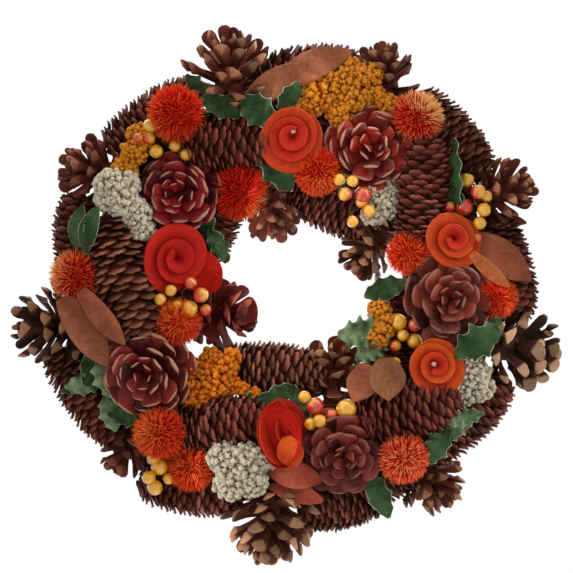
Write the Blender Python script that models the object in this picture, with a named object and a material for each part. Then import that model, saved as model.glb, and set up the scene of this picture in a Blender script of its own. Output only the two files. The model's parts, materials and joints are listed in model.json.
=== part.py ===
"""Harvest door wreath: cones, shaved-wood roses, bristle balls, berries and leaves on a twig ring.

Metres, +Z up, the front faces -Y and the door is the plane y = 0. The origin is the seat of a
door hook: the top of the ring's inner edge, on its flat back. The hung pieces are placed by
clock angle round the ring, by how far they sit outside (+) or inside (-) its middle line, and
by how high they rest on its round front. A piece that would touch nothing comes down until it
rests on the ring or on a held piece. Where two neighbours would meet, both are trimmed flat
along a plane between them, as pieces pressed and glued together sit.
"""
import math

import bmesh
import bpy
import numpy as np
from mathutils import Matrix, Vector
from mathutils.bvhtree import BVHTree

# Driving dimensions, metres.
MM = 0.001
RING_RADIUS = 0.108
RING_HALF_WIDTH = 0.030
RING_DEPTH = 0.027
RING_CROWN = 0.003
GAP = 0.0003
BACK_CLEAR = 0.006
PINE_DIAMETER = 0.053
PINE_LENGTH = 0.050
SPRUCE_DIAMETER = 0.038
SPRUCE_LENGTH = 0.074
PAINTED_DIAMETER = 0.054
PAINTED_HEIGHT = 0.030
ROSE_DIAMETER = 0.040
ROSE_HEIGHT = 0.024
BALL_DIAMETER = 0.037
BERRY_DIAMETER = 0.0095
BERRY_WIRE = 0.0014
LEAF_THICKNESS = 0.001
CHANNEL_WIDTH = 0.034
CHANNEL_DEPTH = 0.0042
LOOP_WIDTH = 0.024
LOOP_HEIGHT = 0.028
LOOP_WIRE = 0.0018
STAPLE_WIRE = 0.0012
STAPLE_INSET = 0.0002
STAPLE_LEG = 0.010
HOLE_SPARE = 0.004
LOWERING_STEP = 0.0005

# Worked out from the driving dimensions.
RING_CENTRE_Z = -(RING_RADIUS - RING_HALF_WIDTH)
PIVOT_Z = RING_CENTRE_Z + RING_RADIUS + 0.55 * RING_HALF_WIDTH
PIVOT_Y = -(STAPLE_WIRE + 2 * GAP + LOOP_WIRE / 2 + STAPLE_INSET)
GOLDEN_ANGLE = math.pi * (3 - math.sqrt(5))


def clear_scene():
    for old in list(bpy.data.objects):
        bpy.data.objects.remove(old, do_unlink=True)


def material(name, colour, roughness, metallic=0.0):
    made = bpy.data.materials.new(name)
    made.use_nodes = True
    shader = made.node_tree.nodes["Principled BSDF"]
    shader.inputs["Base Color"].default_value = (*colour, 1.0)
    shader.inputs["Roughness"].default_value = roughness
    shader.inputs["Metallic"].default_value = metallic
    return made


# ---- Places and directions on the wreath ----

def seat(clock, out, half, lift=0.0):
    """Centre of a piece of half thickness `half` that rests on the ring's round front."""
    reach = RING_HALF_WIDTH + half + lift
    height = math.sqrt(max(reach ** 2 - out ** 2, 0.0))
    height = max(height, half + BACK_CLEAR)
    angle = math.radians(clock)
    radius = RING_RADIUS + out
    return Vector((radius * math.sin(angle), -height, RING_CENTRE_Z + radius * math.cos(angle)))


def pointing(heading, rise):
    """Unit vector at clock angle `heading` on the wreath's face, raised by `rise` towards the front."""
    angle = math.radians(heading)
    lift = math.radians(rise)
    return Vector((math.cos(lift) * math.sin(angle), -math.sin(lift), math.cos(lift) * math.cos(angle)))


def frame_at(place, axis, roll=0.0):
    """Matrix that takes local +Z to `axis` and the local origin to `place`."""
    turn = axis.to_track_quat("Z", "Y").to_matrix().to_4x4()
    return Matrix.Translation(place) @ turn @ Matrix.Rotation(math.radians(roll), 4, "Z")


# ---- Closed meshes for the sub-parts, each round its own local origin ----

def skin(rings, bottom, top):
    """Closed shell through equal rings of points, from a pole at `bottom` to a pole at `top`."""
    mesh = bmesh.new()
    loops = [[mesh.verts.new(point) for point in ring] for ring in rings]
    poles = (mesh.verts.new(bottom), mesh.verts.new(top))
    count = len(loops[0])
    for lower, upper in zip(loops, loops[1:]):
        for i in range(count):
            j = (i + 1) % count
            mesh.faces.new((lower[i], lower[j], upper[j], upper[i]))
    for i in range(count):
        j = (i + 1) % count
        mesh.faces.new((poles[0], loops[0][j], loops[0][i]))
        mesh.faces.new((poles[1], loops[-1][i], loops[-1][j]))
    bmesh.ops.recalc_face_normals(mesh, faces=mesh.faces)
    return mesh


def open_cone(diameter, length, scales=6, tiers=5, notch=0.24):
    """Barrel of staggered woody scales: the radius swells on a scale and dips beside it."""
    rings = []
    for tier in range(tiers):
        share = (tier + 0.5) / tiers
        radius = 0.5 * diameter * math.sin(math.pi * (0.22 + 0.66 * share)) ** 0.8
        ring = []
        for i in range(2 * scales):
            angle = math.pi * i / scales
            dip = notch if (i + tier) % 2 else 0.0
            reach = radius * (1 - dip)
            level = length * (share - 0.5 - 0.1 * dip)
            ring.append((reach * math.cos(angle), reach * math.sin(angle), level))
        rings.append(ring)
    return skin(rings, (0, 0, -0.46 * length), (0, 0, 0.5 * length))


def long_cone(diameter, length, sides=8, tiers=4):
    """Spindle of overlapping thin scales: each tier flares to a lip, then steps in."""
    rings = []
    for tier in range(tiers):
        for share, step in (((tier + 0.15) / tiers, 0.86), ((tier + 0.8) / tiers, 1.0)):
            radius = 0.5 * diameter * step * math.sin(math.pi * (0.16 + 0.74 * share)) ** 0.7
            turn = math.pi / sides * tier
            ring = []
            for i in range(sides):
                angle = 2 * math.pi * i / sides + turn
                ring.append((radius * math.cos(angle), radius * math.sin(angle), length * (share - 0.5)))
            rings.append(ring)
    return skin(rings, (0, 0, -0.5 * length), (0, 0, 0.5 * length))


def coiled_rose(diameter, height, sides=14):
    """Cup of one wound shaving: its wall rises to a rim, and a lower spiral winds inside it."""
    rings = []
    for reach, level, winding in (
            (0.50, -0.50, 0.0), (0.92, -0.05, 0.1), (1.00, 0.34, 0.25), (0.80, 0.08, 0.6),
            (0.60, 0.40, 0.9), (0.38, 0.12, 1.3), (0.20, 0.44, 1.6)):
        ring = []
        for i in range(sides):
            angle = 2 * math.pi * i / sides
            radius = 0.5 * diameter * reach * (1 + 0.08 * math.cos(angle + 2 * math.pi * winding))
            rise = height * (level + 0.09 * math.cos(angle - 2 * math.pi * winding))
            ring.append((radius * math.cos(angle), radius * math.sin(angle), rise))
        rings.append(ring)
    return skin(rings, (0, 0, -0.5 * height), (0, 0, 0.30 * height))


def burr(width, depth, spike):
    """Ball of short points: every face of an icosphere is raised to a small peak."""
    mesh = bmesh.new()
    bmesh.ops.create_icosphere(mesh, subdivisions=2, radius=0.5)
    bmesh.ops.poke(mesh, faces=mesh.faces, offset=spike)
    bmesh.ops.scale(mesh, vec=(width, width, depth), verts=mesh.verts)
    return mesh


def berry(diameter):
    mesh = bmesh.new()
    bmesh.ops.create_uvsphere(mesh, u_segments=7, v_segments=5, radius=0.5 * diameter)
    return mesh


def wire_between(start, end, thickness):
    """Short straight wire with five sides from `start` to `end`."""
    mesh = bmesh.new()
    length = (end - start).length
    bmesh.ops.create_cone(mesh, cap_ends=True, segments=5, radius1=thickness / 2, radius2=thickness / 2,
                          depth=length)
    mesh.transform(frame_at((start + end) / 2, (end - start).normalized()))
    return mesh


def leaf(length, width, bow):
    """Pointed leaf as a thin closed sheet, folded along its rib and bowed along its length."""
    steps = 7
    rings = []
    for i in range(steps):
        along = i / (steps - 1)
        half = 0.5 * width * math.sin(math.pi * (0.06 + 0.88 * along)) ** 0.8
        level = bow * math.sin(math.pi * along)
        ring = []
        for side, face in ((-1, 1), (0, 1), (1, 1), (1, -1), (0, -1), (-1, -1)):
            fold = 0.22 * half * abs(side)
            ring.append((side * half, level + fold + face * LEAF_THICKNESS / 2, length * (along - 0.5)))
        rings.append(ring)
    tip = 0.5 * length + LEAF_THICKNESS
    return skin(rings, (0, 0, -tip), (0, 0, tip))


def tube(points, thickness, sides=6):
    """Closed ring of round wire along `points`, which lie in the plane x-z of their own."""
    mesh = bmesh.new()
    loops = []
    count = len(points)
    for i, point in enumerate(points):
        along = (points[(i + 1) % count] - points[i - 1]).normalized()
        across = along.cross(Vector((0, 1, 0)))
        loop = []
        for k in range(sides):
            angle = 2 * math.pi * (k + 0.5) / sides
            offset = across * math.cos(angle) + Vector((0, 1, 0)) * math.sin(angle)
            loop.append(mesh.verts.new(point + offset * thickness / 2))
        loops.append(loop)
    for i in range(count):
        near, far = loops[i], loops[(i + 1) % count]
        for k in range(sides):
            m = (k + 1) % sides
            mesh.faces.new((near[k], near[m], far[m], far[k]))
    bmesh.ops.recalc_face_normals(mesh, faces=mesh.faces)
    return mesh


# ---- Boolean work ----

def add_object(name, mesh_source, place=None, finish=None):
    """Turn a bmesh in world coordinates into an object whose origin is at `place`."""
    origin = place or Vector((0, 0, 0))
    mesh_source.transform(Matrix.Translation(-origin))
    mesh = bpy.data.meshes.new(name)
    mesh_source.to_mesh(mesh)
    mesh_source.free()
    made = bpy.data.objects.new(name, mesh)
    made.location = origin
    bpy.context.scene.collection.objects.link(made)
    if finish:
        mesh.materials.append(finish)
    return made


def combine(first, second, operation):
    """Exact Boolean of two bmeshes in world coordinates; both are used up."""
    body = add_object("body", first)
    tool = add_object("tool", second)
    cut = body.modifiers.new("cut", "BOOLEAN")
    cut.operation = operation
    cut.solver = "EXACT"
    cut.object = tool
    shaped = body.evaluated_get(bpy.context.evaluated_depsgraph_get())
    result = bmesh.new()
    result.from_mesh(shaped.to_mesh())
    shaped.to_mesh_clear()
    for used in (body, tool):
        data = used.data
        bpy.data.objects.remove(used, do_unlink=True)
        bpy.data.meshes.remove(data)
    return result


def largest_body(mesh):
    """Weld the slivers that a cut leaves, and keep the biggest body joined face to face."""
    bmesh.ops.remove_doubles(mesh, verts=mesh.verts, dist=2e-5)
    bmesh.ops.dissolve_degenerate(mesh, edges=mesh.edges, dist=2e-5)
    left = set(mesh.faces)
    bodies = []
    while left:
        front = [left.pop()]
        body = []
        while front:
            face = front.pop()
            body.append(face)
            for edge in face.edges:
                for other in edge.link_faces:
                    if other in left:
                        left.discard(other)
                        front.append(other)
        bodies.append(body)
    bodies.sort(key=len)
    for body in bodies[:-1]:
        bmesh.ops.delete(mesh, geom=body, context="FACES")
    return mesh


# ---- Glued pieces and the flat joints between them ----

def spread_directions(count=420):
    """Even directions over the sphere, laid out on a golden spiral."""
    index = np.arange(count) + 0.5
    level = 1 - 2 * index / count
    angle = GOLDEN_ANGLE * index
    radius = np.sqrt(1 - level ** 2)
    return np.stack((radius * np.cos(angle), level, radius * np.sin(angle)), axis=1)


class Shape:
    """One convex-minded shape of a node, with the planes that trim it against its neighbours."""

    def __init__(self, node, mesh, hold):
        self.node = node
        self.mesh = mesh
        self.hold = hold
        self.planes = []
        self.hull = mesh.copy()
        self.points = np.array([vert.co[:] for vert in mesh.verts])

    def trim(self, normal, level):
        """Keep the side of the plane where normal . point is below `level`."""
        self.planes.append((Vector(normal), level))
        everything = self.hull.verts[:] + self.hull.edges[:] + self.hull.faces[:]
        bmesh.ops.bisect_plane(self.hull, geom=everything, dist=1e-7, plane_co=Vector(normal) * level,
                               plane_no=normal, clear_outer=True)
        self.points = np.array([vert.co[:] for vert in self.hull.verts])

    def move(self, step):
        """Shift the shape, before any plane has trimmed it."""
        for mesh in (self.mesh, self.hull):
            bmesh.ops.translate(mesh, verts=mesh.verts, vec=step)
        self.points = self.points + np.array(step)

    def surface(self):
        """Search tree over the untrimmed faces, to find what they cut through."""
        return BVHTree.FromBMesh(self.mesh)

    def cell(self):
        """Convex block round the shape, cut by all of its planes."""
        block = bmesh.new()
        bmesh.ops.create_cube(block, size=0.6)
        bmesh.ops.translate(block, verts=block.verts, vec=(0, 0, RING_CENTRE_Z))
        for normal, level in self.planes:
            everything = block.verts[:] + block.edges[:] + block.faces[:]
            bmesh.ops.bisect_plane(block, geom=everything, dist=1e-7, plane_co=normal * level,
                                   plane_no=normal, clear_outer=True)
            rim = [edge for edge in block.edges if edge.is_boundary]
            if rim:
                bmesh.ops.holes_fill(block, edges=rim, sides=0)
        bmesh.ops.recalc_face_normals(block, faces=block.faces)
        return block

    def solid(self):
        return combine(self.mesh, self.cell(), "INTERSECT") if self.planes else self.mesh


def overlap_along(first, second, directions):
    """How far two shapes overlap along each direction; nothing where their boxes are apart."""
    if (first.points.min(0) > second.points.max(0) + GAP).any():
        return None
    if (second.points.min(0) > first.points.max(0) + GAP).any():
        return None
    return (directions @ first.points.T).max(1) - (directions @ second.points.T).min(1)


def part_neighbours(first, second, directions):
    """Find the direction in which two shapes overlap least, and trim both along it."""
    overlap = overlap_along(first, second, directions)
    if overlap is None or overlap.min() <= -GAP:
        return
    best = int(overlap.argmin())
    reach = float((directions[best] @ first.points.T).max())
    share = second.hold / (first.hold + second.hold)
    level = reach - float(overlap[best] + GAP) * share
    if level < reach:
        first.trim(directions[best], level)
    if level + GAP > reach - overlap[best]:
        second.trim(-directions[best], -(level + GAP))


class Wreath:
    """The shapes of all glued pieces, node by node, with each node's finish."""

    def __init__(self):
        self.shapes = []
        self.finish = {}

    def add(self, node, mesh, place_matrix, hold, finish):
        mesh.transform(place_matrix)
        self.shapes.append(Shape(node, mesh, hold))
        self.finish[node] = finish

    def rests(self, node, held, ring):
        """True where a node's faces cut the ring's surface or those of a held node."""
        own = [shape.surface() for shape in self.shapes if shape.node == node]
        others = [ring, *sum(held.values(), [])]
        return any(surface.overlap(other) for surface in own for other in others)

    def lower(self, node):
        """Move a node one step towards the ring's middle line."""
        own = [shape for shape in self.shapes if shape.node == node]
        centre = Vector(np.concatenate([shape.points for shape in own]).mean(0))
        outwards = Vector((centre.x, 0, centre.z - RING_CENTRE_Z)).normalized()
        foot = Vector((0, 0, RING_CENTRE_Z)) + outwards * RING_RADIUS
        for shape in own:
            shape.move((foot - centre).normalized() * LOWERING_STEP)

    def hold(self):
        """Bring every node that hangs in the air down onto the ring or onto a held node."""
        ring = BVHTree.FromBMesh(ring_body(2 * GAP))
        loose = list(self.finish)
        held = {}
        while loose:
            resting = [node for node in loose if self.rests(node, held, ring)]
            if not resting:
                while not self.rests(loose[0], held, ring):
                    self.lower(loose[0])
                resting = loose[:1]
            for node in resting:
                held[node] = [shape.surface() for shape in self.shapes if shape.node == node]
            loose = [node for node in loose if node not in held]

    def settle(self):
        """Keep every shape clear of the door, then trim neighbours against each other."""
        directions = spread_directions()
        for shape in self.shapes:
            if shape.points[:, 1].max() > -BACK_CLEAR:
                shape.trim(Vector((0, 1, 0)), -BACK_CLEAR)
        for i, first in enumerate(self.shapes):
            for second in self.shapes[i + 1:]:
                if first.node != second.node:
                    part_neighbours(first, second, directions)

    def build(self):
        for node, finish in self.finish.items():
            solids = [shape.solid() for shape in self.shapes if shape.node == node]
            whole = solids[0]
            for extra in solids[1:]:
                whole = combine(whole, extra, "UNION")
            whole = largest_body(combine(whole, ring_body(2 * GAP), "DIFFERENCE"))
            centre = sum((vert.co for vert in whole.verts), Vector()) / len(whole.verts)
            made = add_object(node, whole, centre, finish)
            made.data.shade_smooth()
            made.data.set_sharp_from_angle(angle=math.radians(40))


# ---- The twig ring ----

def ring_body(grow=0.0, stations=40, steps=7):
    """Half-round bundle swept round the ring, flat at the back; `grow` fattens it all round."""
    rings = []
    for k in range(stations):
        clock = 2 * math.pi * k / stations
        section = []
        for j in range(steps):
            angle = math.pi * j / (steps - 1)
            rib = 1 + 0.03 * math.cos(3 * clock + 4 * angle) * math.sin(angle)
            out = (RING_HALF_WIDTH * rib + grow) * math.cos(angle)
            height = (RING_DEPTH * rib + grow) * math.sin(angle) + (RING_CROWN if 0 < j < steps - 1 else 0.0)
            if j in (0, steps - 1):
                height = -grow
            radius = RING_RADIUS + out
            section.append(Vector((radius * math.sin(clock), -height,
                                   RING_CENTRE_Z + radius * math.cos(clock))))
        rings.append(section)
    mesh = bmesh.new()
    loops = [[mesh.verts.new(point) for point in section] for section in rings]
    for k in range(stations):
        near, far = loops[k], loops[(k + 1) % stations]
        for j in range(steps):
            m = (j + 1) % steps
            mesh.faces.new((near[j], near[m], far[m], far[j]))
    bmesh.ops.recalc_face_normals(mesh, faces=mesh.faces)
    return mesh


def box(width, depth, height, centre):
    mesh = bmesh.new()
    bmesh.ops.create_cube(mesh, size=1.0)
    bmesh.ops.scale(mesh, vec=(width, depth, height), verts=mesh.verts)
    bmesh.ops.translate(mesh, verts=mesh.verts, vec=centre)
    return mesh


STAPLE_PLACES = (("left", -0.3 * LOOP_WIDTH), ("right", 0.3 * LOOP_WIDTH))
STAPLE_REACH = LOOP_WIRE / 2 + STAPLE_WIRE / 2 + 2 * GAP


def twig_ring():
    """Bound twig ring, with a shallow channel for the hanger and two drilled holes per staple."""
    ring_top = Vector((0, 0, RING_CENTRE_Z + RING_RADIUS))
    channel = box(CHANNEL_WIDTH, 2 * CHANNEL_DEPTH, 3 * RING_HALF_WIDTH, ring_top)
    body = combine(ring_body(), channel, "DIFFERENCE")
    for _, x in STAPLE_PLACES:
        for side in (-1, 1):
            mouth = Vector((x, HOLE_SPARE / 4, PIVOT_Z + side * STAPLE_REACH))
            end = mouth - Vector((0, STAPLE_LEG + HOLE_SPARE, 0))
            hole = wire_between(mouth, end, STAPLE_WIRE + 3 * GAP)
            body = combine(body, hole, "DIFFERENCE")
    finish = material("bound_twigs", (0.20, 0.11, 0.06), 0.85)
    add_object("twig_ring", largest_body(body), Vector((0, 0, RING_CENTRE_Z)), finish)


def hanger_staples():
    """Two wire staples that hold the hanger's straight bar against the ring's back."""
    for side, x in STAPLE_PLACES:
        finish = material("staple_wire_" + side, (0.55, 0.54, 0.52), 0.35, 1.0)
        crown = PIVOT_Y + LOOP_WIRE / 2 + 2 * GAP + STAPLE_WIRE / 2
        legs = []
        for way in (-1, 1):
            top = Vector((x, crown, PIVOT_Z + way * STAPLE_REACH))
            legs.append((top, top + Vector((0, -STAPLE_LEG, 0))))
        body = wire_between(legs[0][0], legs[0][1], STAPLE_WIRE)
        body = combine(body, wire_between(legs[1][0], legs[1][1], STAPLE_WIRE), "UNION")
        spare = Vector((0, 0, STAPLE_WIRE / 2))
        across = wire_between(legs[0][0] - spare, legs[1][0] + spare, STAPLE_WIRE)
        body = combine(body, across, "UNION")
        add_object("hanger_staple_" + side, largest_body(body), Vector((x, PIVOT_Y, PIVOT_Z)), finish)


def hanger_loop():
    """Bent wire loop; its straight top bar is the hinge, and at rest it hangs down."""
    finish = material("hanger_wire", (0.45, 0.44, 0.42), 0.35, 1.0)
    half = LOOP_WIDTH / 2
    corner = LOOP_WIDTH / 5
    points = []
    for centre_x, centre_z, start, radius, steps in (
            (half - corner, -corner, 90, corner, 3), (0, -LOOP_HEIGHT + half, 0, half, 8),
            (corner - half, -corner, 180, corner, 3)):
        sweep = -180 if radius == half else -90
        for i in range(steps + 1):
            angle = math.radians(start + sweep * i / steps)
            points.append(Vector((centre_x + radius * math.cos(angle), PIVOT_Y,
                                  PIVOT_Z + centre_z + radius * math.sin(angle))))
    add_object("hanger_loop", tube(points, LOOP_WIRE), Vector((0, PIVOT_Y, PIVOT_Z)), finish)


# ---- Glued pieces: hour name, clock angle, mm outside the middle line, and heading or size ----

def pine_cones(wreath):
    """Open cones: a round of them points outwards, four look into the middle."""
    for name, clock, out, turn, rise, size, lift in (
            ("outer_12", 346, 43, 10, 8, 1.15, 0), ("outer_1", 25, 50, -35, 8, 0.86, 0),
            ("outer_2", 65, 48, 12, 5, 0.88, 0), ("outer_3", 104, 50, -4, 8, 1.02, 4),
            ("outer_5", 143, 50, -15, 5, 0.90, 0), ("outer_6", 184, 46, 4, 5, 1.10, 0),
            ("outer_8", 226, 42, -8, 5, 0.80, 0), ("outer_9", 261, 48, 1, 8, 1.00, 4),
            ("outer_10", 302, 44, -17, 5, 0.88, 0), ("inner_8", 251, -60, -163, 10, 0.84, 4),
            ("inner_5", 153, -47, -148, 15, 0.82, 2), ("inner_12", 350, -50, 175, 20, 0.88, 2),
            ("inner_2", 64, -44, 158, 10, 0.78, 2)):
        diameter = PINE_DIAMETER * size
        place = seat(clock, out * MM, 0.42 * diameter, lift * MM)
        axis = pointing(clock + turn, rise)
        finish = material("pine_cone_" + name, (0.22, 0.09, 0.05), 0.7)
        wreath.add("pine_cone_" + name, open_cone(diameter, PINE_LENGTH * size), frame_at(place, axis),
                   1.0, finish)


def spruce_cones(wreath):
    """Long closed cones: an outer round of them, and a front one laid along the ring."""
    for name, clock, out, turn, rise, size, lift in (
            ("outer_9", 282, 35, 73, 0, 0.95, 0), ("outer_7", 206, 39, -106, 0, 0.92, 0),
            ("outer_4", 125, 39, -77, 0, 1.00, 0), ("outer_3", 84, 42, 81, 0, 0.97, 0),
            ("outer_2", 47, 44, 91, 0, 0.95, 0), ("outer_12", 4, 39, 78, 0, 1.00, 0),
            ("front_11", 338, 0, 113, 0, 0.93, 0), ("front_9", 274, -1, -111, 4, 1.12, 0),
            ("inner_6", 185, -54, -91, 5, 0.95, 6), ("front_7", 205, -9, -123, 6, 0.93, 0),
            ("front_5", 135, 4, -58, 6, 1.00, 0), ("front_2", 53, 6, -49, 4, 0.97, 0)):
        diameter = SPRUCE_DIAMETER * size
        place = seat(clock, out * MM, 0.46 * diameter, lift * MM)
        axis = pointing(clock + turn, rise)
        finish = material("spruce_cone_" + name, (0.16, 0.05, 0.03), 0.6)
        wreath.add("spruce_cone_" + name, long_cone(diameter, SPRUCE_LENGTH * size), frame_at(place, axis),
                   1.0, finish)


def painted_cones(wreath):
    """Cone slices opened like flowers, painted, facing the front with a slight lean."""
    for name, clock, out, lean, rise, size, lift, colour in (
            ("10", 312, -12, 300, 80, 1.00, 6, (0.25, 0.02, 0.02)),
            ("1", 30, 4, 30, 82, 1.03, 8, (0.55, 0.03, 0.02)),
            ("3", 93, 0, 90, 78, 1.12, 8, (0.30, 0.13, 0.09)),
            ("8", 240, 0, 240, 80, 1.08, 8, (0.40, 0.03, 0.03)),
            ("5", 161, 6, 170, 75, 1.00, 8, (0.28, 0.10, 0.07))):
        place = seat(clock, out * MM, 0.45 * PAINTED_HEIGHT, lift * MM)
        cone = open_cone(PAINTED_DIAMETER * size, PAINTED_HEIGHT, scales=8, tiers=4, notch=0.16)
        finish = material("painted_cone_" + name, colour, 0.55)
        wreath.add("painted_cone_" + name, cone, frame_at(place, pointing(lean, rise)), 1.6, finish)


def wood_roses(wreath):
    """Roses of one wide wood shaving wound on itself."""
    for name, clock, out, lean, rise, size, lift in (
            ("12", 2, -2, 180, 82, 1.00, 14), ("10", 287, -32, 100, 65, 1.08, 12),
            ("2", 72, 7, 90, 75, 0.90, 12), ("4", 116, 0, 115, 75, 0.90, 12),
            ("6", 180, -15, 10, 60, 1.00, 10)):
        place = seat(clock, out * MM, 0.5 * ROSE_HEIGHT, lift * MM)
        finish = material("wood_rose_" + name, (0.50, 0.05, 0.02), 0.45)
        wreath.add("wood_rose_" + name, coiled_rose(ROSE_DIAMETER * size, ROSE_HEIGHT * size),
                   frame_at(place, pointing(lean, rise)), 2.5, finish)


def bristle_balls(wreath):
    """Dense round heads of short bristles."""
    for name, clock, out, size, lift in (
            ("outer_11", 328, 31, 1.08, 16), ("inner_11", 334, -33, 1.06, 8), ("top_12", 15, -25, 0.95, 12),
            ("outer_1", 37, 37, 1.02, 16), ("outer_9", 274, 33, 0.96, 16), ("lower_7", 222, 19, 0.96, 16)):
        diameter = BALL_DIAMETER * size
        place = seat(clock, out * MM, 0.45 * diameter, lift * MM)
        finish = material("bristle_ball_" + name, (0.55, 0.14, 0.04), 0.8)
        wreath.add("bristle_ball_" + name, burr(0.88 * diameter, 0.88 * diameter, 0.07),
                   frame_at(place, pointing(clock, 60)), 1.8, finish)


def dried_flowers(wreath):
    """Heads of tiny bleached or ochre florets."""
    cream = (0.78, 0.70, 0.55)
    ochre = (0.72, 0.45, 0.10)
    for name, clock, out, lean, width, depth, lift, colour in (
            ("cream_flowers_10", 299, 13, 299, 40, 26, 16, cream),
            ("cream_flowers_6", 194, 15, 194, 40, 26, 18, cream),
            ("cream_flowers_4", 114, 28, 114, 32, 24, 14, cream),
            ("yellow_flowers_12", 15, 27, 15, 42, 24, 14, ochre),
            ("yellow_flowers_7", 221, -28, 221, 40, 24, 12, ochre)):
        place = seat(clock, out * MM, 0.4 * depth * MM, lift * MM)
        finish = material(name, colour, 0.85)
        wreath.add(name, burr(0.85 * width * MM, depth * MM, 0.10), frame_at(place, pointing(lean, 65)),
                   1.5, finish)


def berry_picks(wreath):
    """Sprigs of wired berries: mm right and up of the sprig's middle, and each berry's size."""
    glow = (0.80, 0.45, 0.05)
    for name, clock, out, lift, berries in (
            ("11", 319, 20, 24, ((-5, 8, 1.2), (-1, -4, 1.1), (9, 0, 1.0), (14, -6, 1.0), (-13, 0, 0.75))),
            ("1", 36, -8, 22, ((-9, 10, 1.0), (-1, 9, 0.9), (-4, 0, 1.0), (8, 0, 1.3), (11, -12, 1.0))),
            ("2", 63, 28, 20, ((-2, 13, 1.0), (6, 5, 1.2), (-4, -4, 1.3), (10, -7, 1.0), (6, -16, 1.0))),
            ("9", 267, -36, 22, ((8, 9, 0.9), (-5, 4, 1.0), (-12, -2, 1.0), (-2, -6, 1.0), (6, -9, 1.3),
                                  (16, -1, 1.2))),
            ("4", 110, -26, 20, ((-4, 9, 1.3), (6, 7, 1.0), (-2, 0, 1.0), (8, -5, 1.2), (-6, -8, 1.0))),
            ("5", 161, -33, 22, ((-13, 6, 1.0), (-6, 0, 1.3), (5, -6, 1.0), (14, -2, 1.5), (-3, -10, 1.0))),
            ("7", 216, 38, 18, ((-2, 8, 1.1), (3, 2, 1.3), (16, 3, 1.0), (8, -6, 1.0), (-5, -5, 1.0),
                                 (-2, -13, 1.2)))):
        centre = seat(clock, out * MM, 0.5 * BERRY_DIAMETER, lift * MM)
        finish = material("berry_pick_" + name, glow, 0.25)
        spots = []
        for i, (right, up, size) in enumerate(berries):
            spot = centre + Vector((right * MM, 1.5 * MM * math.sin(2.4 * i), up * MM))
            ball = berry(BERRY_DIAMETER * size)
            wreath.add("berry_pick_" + name, ball, Matrix.Translation(spot), 8.0, finish)
            if spots:
                nearest = min(spots, key=lambda other: (other - spot).length)
                link = wire_between(nearest, spot, BERRY_WIRE)
                wreath.add("berry_pick_" + name, link, Matrix.Identity(4), 40.0, finish)
            spots.append(spot)


def dried_leaves(wreath):
    """Single dried leaves, each a thin bowed blade."""
    for name, clock, out, heading, length, width, lift, colour in (
            ("brown_leaf_9", 259, 28, 150, 46, 24, 24, (0.42, 0.18, 0.09)),
            ("salmon_leaf_6", 178, 14, 285, 38, 20, 22, (0.75, 0.25, 0.13)),
            ("green_leaf_4", 133, 38, 60, 40, 22, 22, (0.38, 0.42, 0.25))):
        place = seat(clock, out * MM, 2 * MM, lift * MM)
        finish = material(name, colour, 0.7)
        blade = leaf(length * MM, width * MM, 3 * MM)
        angle = math.radians(heading)
        turn = Matrix.Translation(place) @ Matrix.Rotation(angle, 4, "Y")
        wreath.add(name, blade, turn @ Matrix.Rotation(math.pi, 4, "Z"), 10.0, finish)


def main():
    clear_scene()
    twig_ring()
    hanger_staples()
    hanger_loop()
    wreath = Wreath()
    pine_cones(wreath)
    spruce_cones(wreath)
    painted_cones(wreath)
    wood_roses(wreath)
    bristle_balls(wreath)
    dried_flowers(wreath)
    berry_picks(wreath)
    dried_leaves(wreath)
    wreath.hold()
    wreath.settle()
    wreath.build()


main()
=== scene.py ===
import json
import math

import bpy
import numpy as np
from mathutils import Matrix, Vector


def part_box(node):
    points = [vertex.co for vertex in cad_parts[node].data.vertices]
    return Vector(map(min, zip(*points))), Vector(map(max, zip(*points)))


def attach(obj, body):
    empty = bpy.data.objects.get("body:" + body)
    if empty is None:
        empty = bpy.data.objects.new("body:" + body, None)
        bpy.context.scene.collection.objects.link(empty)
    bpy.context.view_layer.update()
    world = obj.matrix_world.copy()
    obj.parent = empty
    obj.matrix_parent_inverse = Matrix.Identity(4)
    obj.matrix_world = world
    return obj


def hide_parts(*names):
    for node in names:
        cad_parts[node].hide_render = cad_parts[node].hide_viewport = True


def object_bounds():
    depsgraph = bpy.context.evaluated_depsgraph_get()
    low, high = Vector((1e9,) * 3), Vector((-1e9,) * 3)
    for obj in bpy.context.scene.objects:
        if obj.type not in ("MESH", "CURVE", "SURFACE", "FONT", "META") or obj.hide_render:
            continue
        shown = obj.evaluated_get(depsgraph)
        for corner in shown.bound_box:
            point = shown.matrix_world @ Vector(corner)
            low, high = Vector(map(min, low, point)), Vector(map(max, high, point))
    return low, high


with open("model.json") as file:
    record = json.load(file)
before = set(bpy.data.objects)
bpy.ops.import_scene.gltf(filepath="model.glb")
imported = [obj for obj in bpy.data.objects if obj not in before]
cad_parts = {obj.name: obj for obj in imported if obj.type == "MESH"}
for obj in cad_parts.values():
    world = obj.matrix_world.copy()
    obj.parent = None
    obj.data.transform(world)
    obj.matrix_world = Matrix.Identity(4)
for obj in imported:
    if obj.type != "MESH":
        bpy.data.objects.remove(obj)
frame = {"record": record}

cad_low, cad_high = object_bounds()

# ---- Twig ring ----
# The base is a bundle of thin bark-covered twigs bent round in a flat-backed ring, overlapping
# end to end and bound with fine wire. All other pieces are wired or glued to it.

MM = 0.001
TWIGS, BACK_TWIGS, BINDINGS = 64, 13, 14
TWIG_STEPS, BACK_STEPS, BINDING_STEPS = 90, 110, 40
BACK_TWIG_WIDTH, BINDING_WIRE = 4.4 * MM, 0.8 * MM


def box_of(node):
    """Lowest and highest corner of a CAD node's box."""
    low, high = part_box(node)
    return np.array(low), np.array(high)


def middle(node, right=0, up=0, front=0):
    """Middle of a CAD node's box, moved by mm to the right, up and to the front."""
    low, high = box_of(node)
    return (low + high) / 2 + np.array([right * MM, -front * MM, up * MM])


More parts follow.
